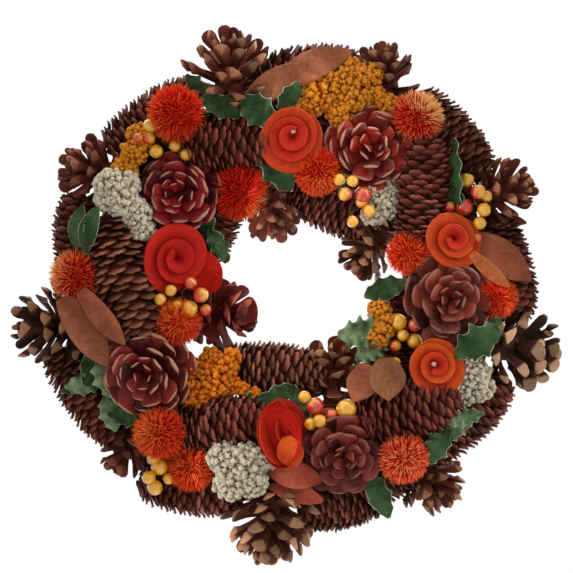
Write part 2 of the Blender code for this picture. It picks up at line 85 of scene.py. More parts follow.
ring_low, ring_high = box_of("twig_ring")
ring_centre = middle("twig_ring")
ring_outer = (ring_high[0] - ring_low[0]) / 2
ring_inner = -ring_centre[2]
ring_middle = (ring_outer + ring_inner) / 2
ring_half = (ring_outer - ring_inner) / 2
ring_depth = 0.9 * (ring_high[1] - ring_low[1])


def at(right, up, front):
    """Point given in mm right of and above the ring's centre, and in front of the door."""
    return np.array([right * MM, -front * MM, ring_centre[2] + up * MM])


def heading(clock, rise=0.0):
    """Unit vector that points to a clock angle on the wreath's face, tipped to the front by rise."""
    turn, lift = math.radians(clock), math.radians(rise)
    return np.array([math.cos(lift) * math.sin(turn), -math.sin(lift), math.cos(lift) * math.cos(turn)])


def unit(vectors):
    """Each vector divided by its own length."""
    return vectors / np.maximum(np.linalg.norm(vectors, axis=-1, keepdims=True), 1e-12)


def closed_shell(rings):
    """Skin over rings of points (stations, round, 3), each end closed to its middle point.

    A ring runs anticlockwise seen from the far end, so that faces point outwards."""
    stations, count = rings.shape[:2]
    points = np.concatenate([rings.reshape(-1, 3), rings[0].mean(0)[None], rings[-1].mean(0)[None]])
    near = np.arange(count)
    after = (near + 1) % count
    start = (np.arange(stations - 1) * count)[:, None]
    quads = np.stack([start + near, start + after, start + count + after, start + count + near], -1)
    last = (stations - 1) * count
    first_end = np.stack([np.full(count, stations * count), after, near], -1)
    last_end = np.stack([np.full(count, stations * count + 1), last + near, last + after], -1)
    return points, [quads.reshape(-1, 4), first_end, last_end]


def with_ends(values):
    """Per-vertex marks of a closed shell, with the two end points taking their ring's mean."""
    return np.concatenate([values.ravel(), [values[0].mean(), values[-1].mean()]])


def finished(name, points, faces, finish, slot, nodes=(), marks=None, body="wreath", crisp=None):
    """Object of the points and faces, shaded smooth, with its finish, riding on its body.

    Where `crisp` is given, edges that turn by more than that many degrees stay sharp."""
    mesh = bpy.data.meshes.new(name)
    corners = np.concatenate([part.ravel() for part in faces])
    sides = np.concatenate([np.full(len(part), part.shape[1]) for part in faces])
    mesh.vertices.add(len(points))
    mesh.vertices.foreach_set("co", points.astype(np.float32).ravel())
    mesh.loops.add(len(corners))
    mesh.loops.foreach_set("vertex_index", corners.astype(np.int32))
    mesh.polygons.add(len(sides))
    mesh.polygons.foreach_set("loop_start", (np.cumsum(sides) - sides).astype(np.int32))
    mesh.update(calc_edges=True)
    mesh.shade_smooth()
    if crisp:
        mesh.set_sharp_from_angle(angle=math.radians(crisp))
    for mark, values in (marks or {}).items():
        layer = mesh.attributes.new(mark, "FLOAT", "POINT")
        layer.data.foreach_set("value", values.astype(np.float32))
    mesh.materials.append(finish)
    piece = bpy.data.objects.new(name, mesh)
    bpy.context.scene.collection.objects.link(piece)
    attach(piece, body)
    if nodes:
        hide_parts(*nodes)


def joined(shells):
    """One set of points and faces out of several (points, faces) pairs."""
    starts = np.cumsum([0] + [len(points) for points, _ in shells])
    faces = [part + start for (_, parts), start in zip(shells, starts) for part in parts]
    return np.concatenate([points for points, _ in shells]), faces


def wire_along(path, width, sides=6, round_trip=False):
    """Round rod along a path (stations, 3): a circle carried square to the path, width may vary."""
    if round_trip:
        along = unit(np.roll(path, -1, 0) - np.roll(path, 1, 0))
    else:
        along = unit(np.gradient(path, axis=0))
    guide = np.where(np.abs(along[:, 1:2]) > 0.9, np.array([1.0, 0, 0]), np.array([0, 1.0, 0]))
    side = unit(np.cross(along, guide))
    other = np.cross(along, side)
    turn = 2 * np.pi * np.arange(sides) / sides
    width = np.broadcast_to(width, len(path))[:, None, None]
    circle = np.cos(turn)[None, :, None] * side[:, None] + np.sin(turn)[None, :, None] * other[:, None]
    rings = path[:, None] + width / 2 * circle
    if not round_trip:
        return closed_shell(rings)
    points, faces = closed_shell(np.concatenate([rings, rings[:1]]))
    count = len(path) * sides
    quads = faces[0] % count
    return points[:count], [quads]


def new_node(tree, kind, inputs=None, **settings):
    """Shader node with its settings: each input takes a value or another node's output."""
    node = tree.nodes.new("ShaderNode" + kind)
    for setting, value in settings.items():
        setattr(node, setting, value)
    for socket, value in (inputs or {}).items():
        if isinstance(value, bpy.types.NodeSocket):
            tree.links.new(value, node.inputs[socket])
        else:
            node.inputs[socket].default_value = value
    return node


def scaled(tree, value, factor, plus, clamp=False):
    """A value times a factor, plus one more value."""
    terms = {0: value, 1: factor, 2: plus}
    return new_node(tree, "Math", terms, operation="MULTIPLY_ADD", use_clamp=clamp).outputs[0]


def mark_of(tree, name):
    """A mark that the mesh carries on its points."""
    return new_node(tree, "Attribute", attribute_name=name).outputs["Fac"]


def eased(tree, value, low, high):
    """Smooth step of a value, from 0 at `low` to 1 at `high`."""
    span = {"Value": value, "From Min": low, "From Max": high}
    return new_node(tree, "MapRange", span, interpolation_type="SMOOTHSTEP").outputs["Result"]


def mixed(tree, share, first, second):
    """Colour that goes from the first to the second by a share."""
    return new_node(tree, "Mix", {0: share, 6: first, 7: second}, data_type="RGBA").outputs[2]


def noise(tree, scale, **inputs):
    """Even noise in the piece's own space."""
    place = new_node(tree, "TexCoord").outputs["Object"]
    return new_node(tree, "TexNoise", {"Vector": place, "Scale": scale, **inputs}).outputs["Fac"]


def grain_group():
    """Node group: two tones mixed by a share, broken up by fine and coarse noise.

    The colour is then made lighter or darker by each copy's own luck, from -1 to 1, and by the
    same noise. It puts out the colour, a roughness and a height for a bump."""
    group = bpy.data.node_groups.new("dry_grain", "ShaderNodeTree")
    for direction, names, kind in (
            ("INPUT", ("Deep", "Pale"), "Color"), ("INPUT", ("Share", "Scale", "Break", "Rough"), "Float"),
            ("OUTPUT", ("Color",), "Color"), ("OUTPUT", ("Roughness", "Height"), "Float")):
        for name in names:
            group.interface.new_socket(name, in_out=direction, socket_type="NodeSocket" + kind)
    given = group.nodes.new("NodeGroupInput").outputs
    out = group.nodes.new("NodeGroupOutput").inputs
    fine = noise(group, given["Scale"], Detail=4.0, Roughness=0.65)
    both = scaled(group, fine, 0.6, scaled(group, noise(group, 120.0), 0.4, -0.5))
    share = scaled(group, both, given["Break"], given["Share"], clamp=True)
    lift = scaled(group, mark_of(group, "luck"), 0.50, 1.0)
    tone = {0: mixed(group, share, given["Deep"], given["Pale"]), "Scale": scaled(group, both, 1.1, lift)}
    varied = new_node(group, "VectorMath", tone, operation="SCALE")
    group.links.new(varied.outputs[0], out["Color"])
    group.links.new(scaled(group, both, 0.35, given["Rough"], clamp=True), out["Roughness"])
    group.links.new(fine, out["Height"])
    return group


dry_grain = grain_group()


def grained(name, deep, pale, scale, uneven, rough):
    """New material with its shader, whose colour and roughness come from the dry grain."""
    made = bpy.data.materials.new(name)
    made.use_nodes = True
    shader = made.node_tree.nodes["Principled BSDF"]
    tones = {"Deep": (*deep, 1.0), "Pale": (*pale, 1.0), "Scale": scale, "Break": uneven, "Rough": rough}
    grain = new_node(made.node_tree, "Group", node_tree=dry_grain)
    for socket, value in tones.items():
        grain.inputs[socket].default_value = value
    made.node_tree.links.new(grain.outputs["Color"], shader.inputs["Base Color"])
    made.node_tree.links.new(grain.outputs["Roughness"], shader.inputs["Roughness"])
    return made, shader, grain


def dry_finish(name, deep, pale, mark="along", scale=900.0, uneven=1.0, rough=0.6, bump=0.25,
               low=0.0, high=1.0, coat=0.0, shine=0.04):
    """Dry plant matter: `deep` where the mark is under `low`, `pale` where it is over `high`."""
    made, shader, grain = grained(name, deep, pale, scale, uneven, rough)
    tree = made.node_tree
    shader.inputs["Specular IOR Level"].default_value = shine
    shader.inputs["Coat Weight"].default_value = coat
    tree.links.new(eased(tree, mark_of(tree, mark), low, high), grain.inputs["Share"])
    relief = {"Strength": bump, "Distance": 0.6 * MM, "Height": grain.outputs["Height"]}
    tree.links.new(new_node(tree, "Bump", relief).outputs["Normal"], shader.inputs["Normal"])
    return made


def ring_path(clocks, out, front):
    """Points at clock angles in radians, `out` from the ring's middle line and `front` of the door."""
    radius = ring_middle + out
    return np.stack([radius * np.sin(clocks), -front, ring_centre[2] + radius * np.cos(clocks)], -1)


CHANNEL_DEPTH, CHANNEL_REACH = 6.2 * MM, 22 * MM


def clear_of_hanger(clocks, front):
    """Twigs lifted off the back near twelve o'clock, where the hanger lies in its channel."""
    from_top = np.abs((clocks + np.pi) % (2 * np.pi) - np.pi) * ring_middle
    lift = np.clip(1.6 - from_top / CHANNEL_REACH, 0.0, 1.0)
    return np.maximum(front, CHANNEL_DEPTH * lift)


chance = np.random.default_rng(11)
twigs = []
twig_marks = []
for number in range(TWIGS):
    reach = chance.uniform(3.6, 5.8)
    clocks = chance.uniform(0, 2 * np.pi) + np.linspace(0, reach, TWIG_STEPS)
    round_section = math.pi * (number + 0.5) / TWIGS
    depth_share = 0.95 - 0.22 * (number % 3) / 2
    wander = 0.06 * np.sin(2.3 * clocks + number) + 0.05 * np.sin(5.1 * clocks + 2 * number)
    width = chance.uniform(3.4, 4.6) * MM
    out = (ring_half - width / 2) * depth_share * np.cos(round_section + wander)
    front = width / 2 + (ring_depth - width) * depth_share * np.sin(np.clip(round_section + wander, 0, np.pi))
    taper = width * (1 - 0.45 * np.linspace(-1, 1, TWIG_STEPS) ** 4)
    path = ring_path(clocks, out, clear_of_hanger(clocks, front))
    twigs.append(wire_along(path, taper, sides=6))
    twig_marks.append(with_ends(np.full((TWIG_STEPS, 6), chance.uniform(0, 1))))
for number in range(BACK_TWIGS):
    clocks = chance.uniform(0, 2 * np.pi) + np.linspace(0, 2 * np.pi * 0.97, BACK_STEPS)
    out = (2 * number / (BACK_TWIGS - 1) - 1) * 0.86 * ring_half + 0.8 * MM * np.sin(3 * clocks + number)
    front = clear_of_hanger(clocks, np.full(BACK_STEPS, 2.3 * MM))
    twigs.append(wire_along(ring_path(clocks, out, front), BACK_TWIG_WIDTH, sides=6))
    twig_marks.append(with_ends(np.full((BACK_STEPS, 6), chance.uniform(0, 1))))
bark = dry_finish("twig_bark", (0.030, 0.013, 0.009), (0.17, 0.085, 0.05), "tone", scale=700, uneven=1.3,
                  rough=0.75, bump=0.6)
finished("twig_ring_bundle", *joined(twigs), bark, "bound_twig", ["twig_ring"],
         {"tone": np.concatenate(twig_marks)})

bindings = []
for number in range(BINDINGS):
    clock = 2 * np.pi * (number + 0.5) / BINDINGS
    turn = np.linspace(0, 2 * np.pi, BINDING_STEPS, endpoint=False)
    for lean in (0.0, 0.02):
        out = (ring_half - 0.2 * MM) * np.cos(turn)
        front = np.maximum(ring_depth * np.sin(turn), 0.5 * MM)
        path = ring_path(clock + lean + 0.02 * np.sin(turn), out, front)
        bindings.append(wire_along(path, BINDING_WIRE, sides=5, round_trip=True))


def metal_finish(name, colour, rough):
    """Drawn wire: dull metal with faint streaks."""
    made, shader, grain = grained(name, [0.6 * part for part in colour], colour, 500.0, 1.2, rough)
    grain.inputs["Share"].default_value = 0.6
    shader.inputs["Metallic"].default_value = 1.0
    return made


dark_wire = metal_finish("dark_binding_wire", (0.16, 0.13, 0.11), 0.45)
finished("binding_wire", *joined(bindings), dark_wire, "hanger_wire")

# ---- Hanger ----
# A bent loop of zinc-plated wire hangs in a shallow channel across the back of the ring's top. Two
# small wire staples hold its straight bar, and it swings up to hang on a nail.

zinc = metal_finish("zinc_wire", (0.56, 0.55, 0.52), 0.35)
loop_low, loop_high = box_of("hanger_loop")
loop_wire = loop_high[1] - loop_low[1]
loop_half = (loop_high[0] - loop_low[0] - loop_wire) / 2
loop_top = loop_high[2] - loop_wire / 2
loop_drop = loop_high[2] - loop_low[2] - loop_wire
bend = 0.4 * loop_half


def arc(centre_x, centre_z, radius, first, last, steps):
    """Circular arc in the loop's plane, from one angle to another in degrees."""
    angle = np.radians(np.linspace(first, last, steps))
    y = np.full(steps, (loop_low[1] + loop_high[1]) / 2)
    return np.stack([centre_x + radius * np.cos(angle), y, centre_z + radius * np.sin(angle)], -1)


loop_path = np.concatenate([
    arc(loop_half - bend, loop_top - bend, bend, 90, 0, 7),
    arc(0, loop_top - loop_drop + loop_half, loop_half, 0, -180, 24),
    arc(bend - loop_half, loop_top - bend, bend, 180, 90, 7)])
loop = wire_along(loop_path, loop_wire, sides=12, round_trip=True)
finished("hanger_wire_loop", *loop, zinc, "hanger_wire", ["hanger_loop"], body="hanger")

for side in ("left", "right"):
    staple = "hanger_staple_" + side
    low, high = box_of(staple)
    wire = high[0] - low[0]
    leg = (high[2] - low[2] - wire) / 2
    swing = np.linspace(0, np.pi, 9)
    crown = np.stack([np.full(9, middle(staple)[0]), high[1] - wire / 2 - 0.5 * leg * (1 - np.sin(swing)),
                      middle(staple)[2] + leg * np.cos(swing)], -1)
    foot = np.array([0, low[1] - crown[0, 1], 0])
    path = np.concatenate([(crown[0] + foot)[None], crown, (crown[-1] + foot)[None]])
    finished("hanger_staple_wire_" + side, *wire_along(path, wire, sides=8), zinc, "hanger_wire", [staple])

# ---- Open pine cones ----
# Ripe pine cones, sawn or picked whole: thick woody scales spiral round a core, open wide, each
# with a blunt tan end. They are wired on by the base and stand out all round the ring.

GOLDEN_ANGLE = math.pi * (3 - math.sqrt(5))


def copies(points, faces, turns, places):
    """A template set down many times: turns (copies, 3, 3) hold its axes as columns."""
    moved = np.einsum("mij,nj->mni", turns, points) + places[:, None]
    starts = np.arange(len(places)) * len(points)
    parts = [(part[None] + starts[:, None, None]).reshape(-1, part.shape[1]) for part in faces]
    return moved.reshape(-1, 3), parts


def pine_scale(broad):
    """Woody scale one unit long: a slim shaft that widens to a thick end with a keeled lower face.

    Its mark is the share along it, set back at the sides and more so on the upper face, so that a
    pale patch covers the lower face's end and only the very tip above."""
    along = np.array([0.0, 0.25, 0.50, 0.68, 0.82, 0.94, 1.0])[:, None]
    half = broad * np.interp(along, [0, 0.5, 0.68, 0.82, 0.94, 1.0], [0.13, 0.16, 0.20, 0.225, 0.185, 0.08])
    below = np.interp(along, [0, 0.5, 0.68, 0.84, 0.94, 1.0], [0.07, 0.07, 0.08, 0.150, 0.095, 0.02])
    above = np.interp(along, [0, 0.6, 0.9, 1.0], [0.03, 0.035, 0.045, 0.02])
    across = np.array([1, 0.5, 0, -0.5, -1, 0])
    side = np.array([0, 1, 0.8, 1, 0, -1.15])
    x = half * across
    z = 0.22 * along ** 2 + np.where(side > 0, above, below) * side
    mark = along - np.where(side > 0, 0.22, 0.12 * np.abs(across))
    rings = np.stack([x, along + 0 * x, z], -1)
    return rings[:, ::-1], mark[:, ::-1]


def scale_turns(angles, lifts, twist):
    """Axes of scales on an upright core: out along their angle, tipped up by their lift, twisted."""
    out = np.stack([np.cos(angles), np.sin(angles), np.zeros_like(angles)], -1)
    long_way = np.cos(lifts)[:, None] * out + np.sin(lifts)[:, None] * np.array([0.0, 0, 1])
    across = np.stack([np.sin(angles), -np.cos(angles), np.zeros_like(angles)], -1)
    turned = np.cos(twist)[:, None] * across + np.sin(twist)[:, None] * np.cross(across, long_way)
    return np.stack([turned, long_way, np.cross(turned, long_way)], -1)


def scales_round(rings, angles, lifts, twist, sizes, core, height):
    """One scale for each angle, its root `core` out from the middle line and at its own height."""
    turns = scale_turns(angles, lifts, twist) * sizes[:, None, None]
    places = np.stack([core * np.cos(angles), core * np.sin(angles), height], -1)
    return copies(*closed_shell(rings), turns, places)


def spine_of(low, high, widths, sides):
    """Rod up the middle line of a cone, from a low to a high level, of the given widths."""
    levels = np.linspace(low, high, len(widths))
    return wire_along(np.stack([0 * levels, 0 * levels, levels], -1), widths, sides=sides)


def standing(axis, spin=0.0):
    """Matrix whose third column is the axis; spin turns the piece about it."""
    axis = unit(np.asarray(axis, float))
    guide = np.array([0, 1.0, 0]) if abs(axis[1]) < 0.9 else np.array([0, 0, 1.0])
    side = unit(np.cross(guide, axis))
    other = np.cross(axis, side)
    c, s = math.cos(spin), math.sin(spin)
    return np.stack([c * side + s * other, c * other - s * side, axis], -1)


def copy_luck(size, count, rest, luck):
    """One chance value from -1 to 1 for each copy of a template, and none for the rest."""
    return np.concatenate([np.repeat(luck.uniform(-1, 1, count), size), np.zeros(rest)])


def pine_cone(name, centre, axis, diameter, length, deep, pale, nodes, patch, count, seed, broad):
    """Scales in a golden-angle spiral: reflexed at the base, level in the middle, upright at the tip."""
    luck = np.random.default_rng(seed)
    rings, along = pine_scale(broad)
    marks = with_ends(along)
    share = (np.arange(count) + 0.5) / count
    angles = GOLDEN_ANGLE * np.arange(count) + luck.normal(0, 0.12, count)
    lifts = np.interp(share, [0, 0.2, 0.5, 0.8, 1], [-0.45, -0.05, 0.28, 0.75, 1.2])
    lifts = lifts + luck.normal(0, 0.15, count)
    sizes = diameter * np.interp(share, [0, 0.15, 0.5, 0.8, 1], [0.30, 0.41, 0.46, 0.40, 0.28])
    sizes = sizes * luck.uniform(0.84, 1.10, count)
    core = diameter * np.interp(share, [0, 0.3, 1], [0.06, 0.09, 0.03])
    height = length * (share ** 0.9 * 0.66 - 0.42)
    scales = scales_round(rings, angles, lifts, luck.normal(0, 0.32, count), sizes, core, height)
    spine = spine_of(-0.46 * length, 0.30 * length, diameter * np.array([0.16, 0.34, 0.34, 0.22, 0.06]), 8)
    chances = copy_luck(len(marks), count, len(spine[0]), luck)
    marks = np.concatenate([np.tile(marks, count), np.zeros(len(spine[0]))])
    points, faces = joined([scales, spine])
    points = points @ standing(axis, luck.uniform(0, 6.28)).T + centre
    finish = dry_finish(name + "_scales", deep, pale, "along", scale=650, uneven=0.5, rough=0.6, bump=0.6,
                        low=patch, high=patch + 0.10)
    finished(name, points, faces, finish, "pine_scale", nodes, {"along": marks, "luck": chances}, crisp=30)


BROWN, RED_BROWN, NEAR_BLACK = (0.105, 0.034, 0.020), (0.135, 0.034, 0.022), (0.050, 0.018, 0.012)
CRIMSON_BROWN = (0.11, 0.014, 0.010)
TAN, PALE_TAN, DULL_TAN = (0.27, 0.130, 0.065), (0.34, 0.20, 0.11), (0.17, 0.062, 0.036)
for name, clock, rise, diameter, length, nudge, deep, pale, patch, count, broad in (
        ("outer_12", 356, 14, 62, 54, (0, -1, 2), RED_BROWN, TAN, 0.80, 60, 1.0),
        ("outer_1", 352, 20, 48, 44, (1, 3, 3), RED_BROWN, TAN, 0.80, 50, 1.0),
        ("outer_2", 70, 20, 50, 46, (2, 0, 4), RED_BROWN, TAN, 0.80, 60, 0.9),
        ("outer_3", 98, -12, 58, 56, (3, 0, 2), NEAR_BLACK, PALE_TAN, 0.70, 42, 1.2),
        ("outer_5", 134, 10, 48, 46, (3, -2, 0), BROWN, TAN, 0.80, 50, 1.0),
        ("outer_6", 188, 16, 61, 52, (0, 1, 4), BROWN, (0.30, 0.15, 0.08), 0.70, 66, 1.0),
        ("outer_8", 218, 10, 42, 40, (0, -2, 0), RED_BROWN, DULL_TAN, 0.70, 44, 1.1),
        ("outer_9", 264, 4, 58, 54, (-1, 0, 2), NEAR_BLACK, TAN, 0.76, 44, 1.1),
        ("outer_10", 282, 24, 50, 46, (0, 1, 1), RED_BROWN, DULL_TAN, 0.76, 60, 0.95),
        ("inner_8", 96, 34, 48, 42, (1, 0, 2), CRIMSON_BROWN, (0.24, 0.055, 0.035), 0.78, 34, 1.75),
        ("inner_5", 10, 30, 46, 44, (0, 0, 1), RED_BROWN, TAN, 0.74, 46, 1.25),
        ("inner_12", 165, 25, 48, 46, (0, 0, 4), (0.18, 0.048, 0.030), TAN, 0.80, 50, 1.0),
        ("inner_2", 222, 15, 44, 44, (-2, 0, 0), BROWN, TAN, 0.72, 50, 1.0)):
    node = "pine_cone_" + name
    pine_cone("open_" + node, middle(node, *nudge), heading(clock, rise), diameter * MM, length * MM,
              deep, pale, [node], patch, count, clock, broad)

# ---- Long spruce cones ----
# Closed spruce cones: broad thin scales lie over each other like tiles, with wavy dry lips. One
# round of them is tucked under the edge, and a front one lies along the ring.

# MAROON is painted shade in the gaps between scales; WARM, ROSY and DARK_LIP are lip colours, partly painted
# highlight.
MAROON, WARM, ROSY = (0.070, 0.017, 0.011), (0.275, 0.105, 0.058), (0.20, 0.050, 0.034)
DARK_LIP = (0.175, 0.056, 0.037)
SPRUCE_SCALES = 150


def spruce_scale():
    """Thin scale one unit long, widest past its middle and arched round the cone, with a wavy lip.

    Height over the scale's own plane is an arch in x plus a small wave that grows to the lip."""
    along = np.array([0.0, 0.35, 0.60, 0.80, 0.93, 1.0])[:, None]
    half = np.interp(along, [0, 0.35, 0.6, 0.8, 0.93, 1.0], [0.14, 0.36, 0.47, 0.44, 0.29, 0.12])
    across = np.array([1, 0.66, 0.0, -0.66, -1, -0.66, 0.0, 0.66])
    face = np.array([0, 1, 1.2, 1, 0, -1, -1.2, -1])
    thick = np.interp(along, [0, 0.7, 0.9, 1], [0.05, 0.05, 0.055, 0.035])
    x = half * across
    z = thick / 2 * face + 0.45 * x ** 2 - 0.10 * along ** 2 + 0.055 * along ** 2 * np.sin(7 * across)
    rings = np.stack([x, along + 0 * x, z], -1)
    return rings[:, ::-1], along + 0 * x


def spruce_cone(name, centre, axis, diameter, length, pale, seed, nodes=()):
    """Scales in a golden-angle spiral on a spindle: half open at the base, closing towards the tip.

    Each root sits as deep inside the spindle as its scale, leaned out by its lift, needs."""
    luck = np.random.default_rng(seed)
    rings, along = spruce_scale()
    marks = with_ends(along)
    count = SPRUCE_SCALES
    share = (np.arange(count) + 0.5) / count
    spindle = np.interp(share, [0, 0.10, 0.35, 0.65, 0.85, 0.95, 1],
                        [0.72, 0.90, 1.0, 0.96, 0.76, 0.52, 0.25])
    angles = GOLDEN_ANGLE * np.arange(count) + luck.normal(0, 0.06, count)
    lifts = np.interp(share, [0, 0.4, 0.8, 1], [0.52, 0.88, 1.12, 1.45]) + luck.normal(0, 0.06, count)
    sizes = 0.38 * diameter * (0.60 + 0.40 * spindle) * luck.uniform(0.92, 1.08, count)
    core = np.maximum(0.5 * diameter * spindle - 0.95 * sizes * np.cos(lifts), 0.04 * diameter)
    height = length * (share - 0.5) * 0.95 - 0.55 * sizes * np.sin(lifts)
    scales = scales_round(rings, angles, lifts, luck.normal(0, 0.07, count), sizes, core, height)
    body = np.interp(np.linspace(0, 1, 12), [0, 0.12, 0.35, 0.65, 0.85, 1],
                     [0.4, 0.62, 0.70, 0.66, 0.48, 0.05])
    spine = spine_of(-0.49 * length, 0.43 * length, diameter * body, 14)
    chances = copy_luck(len(marks), count, len(spine[0]), luck)
    marks = np.concatenate([np.tile(marks, count), np.zeros(len(spine[0]))])
    points, faces = joined([scales, spine])
    points = points @ standing(axis, luck.uniform(0, 6.28)).T + centre
    # Each scale runs from painted shade at its root, which the spindle inside also takes, to its pale lip:
    # the lip's own dry colour with painted highlight.
    finish = dry_finish(name + "_scales", MAROON, pale, "along", scale=800, uneven=0.6, rough=0.5, bump=0.4,
                        low=0.66, high=1.0, shine=0.03)
    finished(name, points, faces, finish, "spruce_scale", nodes, {"along": marks, "luck": chances})


for name, clock, rise, diameter, length, pale in (
        ("outer_9", 355, 0, 34, 72, DARK_LIP), ("outer_7", 100, 0, 34, 72, DARK_LIP),
        ("outer_4", 48, 0, 38, 76, DARK_LIP), ("outer_3", 165, 0, 36, 74, DARK_LIP),
        ("outer_2", 138, 0, 36, 72, DARK_LIP), ("outer_12", 82, 0, 38, 76, DARK_LIP),
        ("front_11", 91, 4, 37, 70, ROSY), ("front_9", 163, 4, 43, 86, WARM),
        ("inner_6", 94, 5, 37, 72, WARM), ("front_7", 82, 6, 37, 68, ROSY),
        ("front_5", 77, 6, 38, 74, ROSY), ("front_2", 4, 4, 37, 74, ROSY)):
    node = "spruce_cone_" + name
    spruce_cone("long_" + node, middle(node), heading(clock, rise), diameter * MM, length * MM, pale,
                clock, [node])

# Half-hidden long cones that fill the bundle behind the front pieces.
for name, place, clock, rise, diameter, length in (
        ("back_11", (-91, 117, 26), 54, 0, 34, 74), ("back_8", (-134, -71, 24), 145, 0, 34, 76),
        ("back_6", (40, -142, 26), 255, 10, 34, 62), ("inner_1", (29, 57, 30), 115, 5, 32, 60),
        ("inner_9", (-66, 4, 26), 12, 0, 32, 60),
        ("back_2", (110, 74, 22), 165, 0, 32, 66), ("back_7", (-78, -112, 22), 128, 0, 32, 66),
        ("back_5", (76, -120, 22), 60, 0, 34, 70),
        ("inner_10", (-46, 48, 28), 20, 0, 30, 60), ("inner_4", (70, -26, 28), 10, 0, 32, 64)):
    spruce_cone("long_spruce_cone_" + name, at(*place), heading(clock, rise), diameter * MM, length * MM,
                DARK_LIP, length)

# ---- Painted cone flowers ----
# Broad-scaled cones cut across and opened like a flower, dipped in red or rose paint, which has
# worn back to pale wood along the rim of every scale.


def petal_scale():
    """Broad woody tongue one unit long, its end round, thick and blunt.

    The rim mark is full on the edge band and the end, and falls to nothing on the faces."""
    along = np.array([0.0, 0.25, 0.50, 0.68, 0.82, 0.92, 0.98, 1.0])[:, None]
    half = np.interp(along, [0, 0.25, 0.50, 0.68, 0.82, 0.92, 0.98, 1.0],
                     [0.14, 0.24, 0.33, 0.37, 0.355, 0.285, 0.175, 0.08])
    thick = np.interp(along, [0, 0.5, 0.9, 0.98, 1.0], [0.07, 0.09, 0.125, 0.11, 0.08])
    across = np.array([1, 0.88, 0.45, 0.0, -0.45, -0.88, -1, -0.88, -0.45, 0.0, 0.45, 0.88])
    face = np.array([0, 0.8, 1.3, 1.5, 1.3, 0.8, 0, -0.9, -1, -1, -1, -0.9])
    x = half * across
    z = thick / 2 * face + 0.12 * along ** 2 - 0.35 * x ** 2
    outer = np.clip((along - 0.74) / 0.16, 0, 1)
    rim = 0.8 * outer * np.clip((np.abs(across) - 0.8) / 0.2, 0, 1)
    rim = np.maximum(rim, np.interp(along, [0, 0.92, 0.98], [0, 0, 1]))
    rings = np.stack([x, along + 0 * x, z], -1)
    return rings[:, ::-1], rim[:, ::-1]


def painted_cone(name, centre, axis, diameter, height, paint, node, seed):
    """Petals in a golden-angle spiral: the lowest lie flat and wide, the top ones stand and close in."""
    luck = np.random.default_rng(seed)
    rings, rim = petal_scale()
    marks = with_ends(rim)
    count = PAINTED_SCALES
    share = (np.arange(count) + 0.5) / count
    angles = GOLDEN_ANGLE * np.arange(count) + luck.normal(0, 0.14, count)
    lifts = np.interp(share, [0, 0.35, 0.7, 0.9, 1], [0.00, 0.20, 0.48, 0.70, 0.95])
    lifts = lifts + luck.normal(0, 0.12, count)
    sizes = diameter * np.interp(share, [0, 0.3, 0.6, 0.85, 1], [0.43, 0.39, 0.31, 0.20, 0.12])
    sizes = sizes * luck.uniform(0.92, 1.08, count)
    core = diameter * np.interp(share, [0, 1], [0.08, 0.015])
    level = height * (share ** 0.9 * 0.55 - 0.30)
    scales = scales_round(rings, angles, lifts, luck.normal(0, 0.16, count), sizes, core, level)
    tone = np.repeat(luck.uniform(0, 1, count), len(marks))
    worn = np.tile(marks, count) + np.repeat(luck.normal(0, 0.10, count), len(marks))
    spine = spine_of(-0.45 * height, 0.15 * height, diameter * np.array([0.24, 0.26, 0.20, 0.05]), 10)
    tone = np.concatenate([tone, np.zeros(len(spine[0]))])
    worn = np.concatenate([worn, np.full(len(spine[0]), -1.0)])
    points, faces = joined([scales, spine])
    points = points @ standing(axis, luck.uniform(0, 6.28)).T + centre
    finished(name, points, faces, paint, slot_of(node), [node],
             {"rim": worn, "tone": tone, "luck": 0.8 * (2 * tone - 1)})


def slot_of(node):
    """The material slot that the record gives a node."""
    return next(part["material_slot"] for part in frame["record"]["subparts"] if part["node"] == node)


def tone_over(made, mark, low, high, tone):
    """Lays one more tone over a finish, from where a mark is `low` to where it is `high`."""
    tree = made.node_tree
    colour = tree.nodes["Principled BSDF"].inputs["Base Color"]
    share = eased(tree, mark, low, high)
    tree.links.new(mixed(tree, share, colour.links[0].from_socket, (*tone, 1.0)), colour)
    return made


def painted_finish(name, deep, bright, rim_tone, wear):
    """Matt paint in two reds, rubbed through to pale wood along the rims."""
    made = dry_finish(name, deep, bright, "tone", scale=260, uneven=1.4, rough=0.42, bump=0.5, shine=0.16)
    tree = made.node_tree
    worn = scaled(tree, noise(tree, 320.0), 0.8, mark_of(tree, "rim"))
    return tone_over(made, worn, 1.45 - wear, 1.65 - wear, rim_tone)


CREAM_WOOD, ROSE_WOOD = (0.36, 0.165, 0.095), (0.20, 0.070, 0.045)
PAINTED_SCALES = 40
for name, lean, rise, diameter, height, front, deep, bright, rim_tone, wear in (
        ("10", 300, 80, 61, 31, 4, (0.068, 0.002, 0.004), (0.195, 0.009, 0.011), CREAM_WOOD, 0.50),
        ("1", 30, 82, 64, 33, 6, (0.090, 0.004, 0.002), (0.225, 0.014, 0.006), CREAM_WOOD, 0.60),
        ("3", 90, 80, 65, 31, 4, (0.062, 0.007, 0.0045), (0.170, 0.028, 0.017), ROSE_WOOD, 0.50),
        ("8", 240, 80, 66, 31, 4, (0.060, 0.005, 0.004), (0.17, 0.016, 0.013), (0.40, 0.19, 0.11), 0.62),
        ("5", 170, 75, 62, 33, 4, (0.055, 0.007, 0.005), (0.145, 0.022, 0.015), (0.18, 0.060, 0.038), 0.42)):
    node = "painted_cone_" + name
    paint = painted_finish("flower_" + node + "_paint", deep, bright, rim_tone, wear)
    painted_cone("flower_" + node, middle(node, front=front), heading(lean, rise), diameter * MM, height * MM,
                 paint, node, lean)

# ---- Shaved-wood roses ----
# A long thin shaving, dyed red or orange, is wound on itself from a tight bud outwards. Each turn
# leans out further than the one inside it, and a pearl pin holds two of the buds.

SHAVING_HALF_THICKNESS = 0.4 * MM


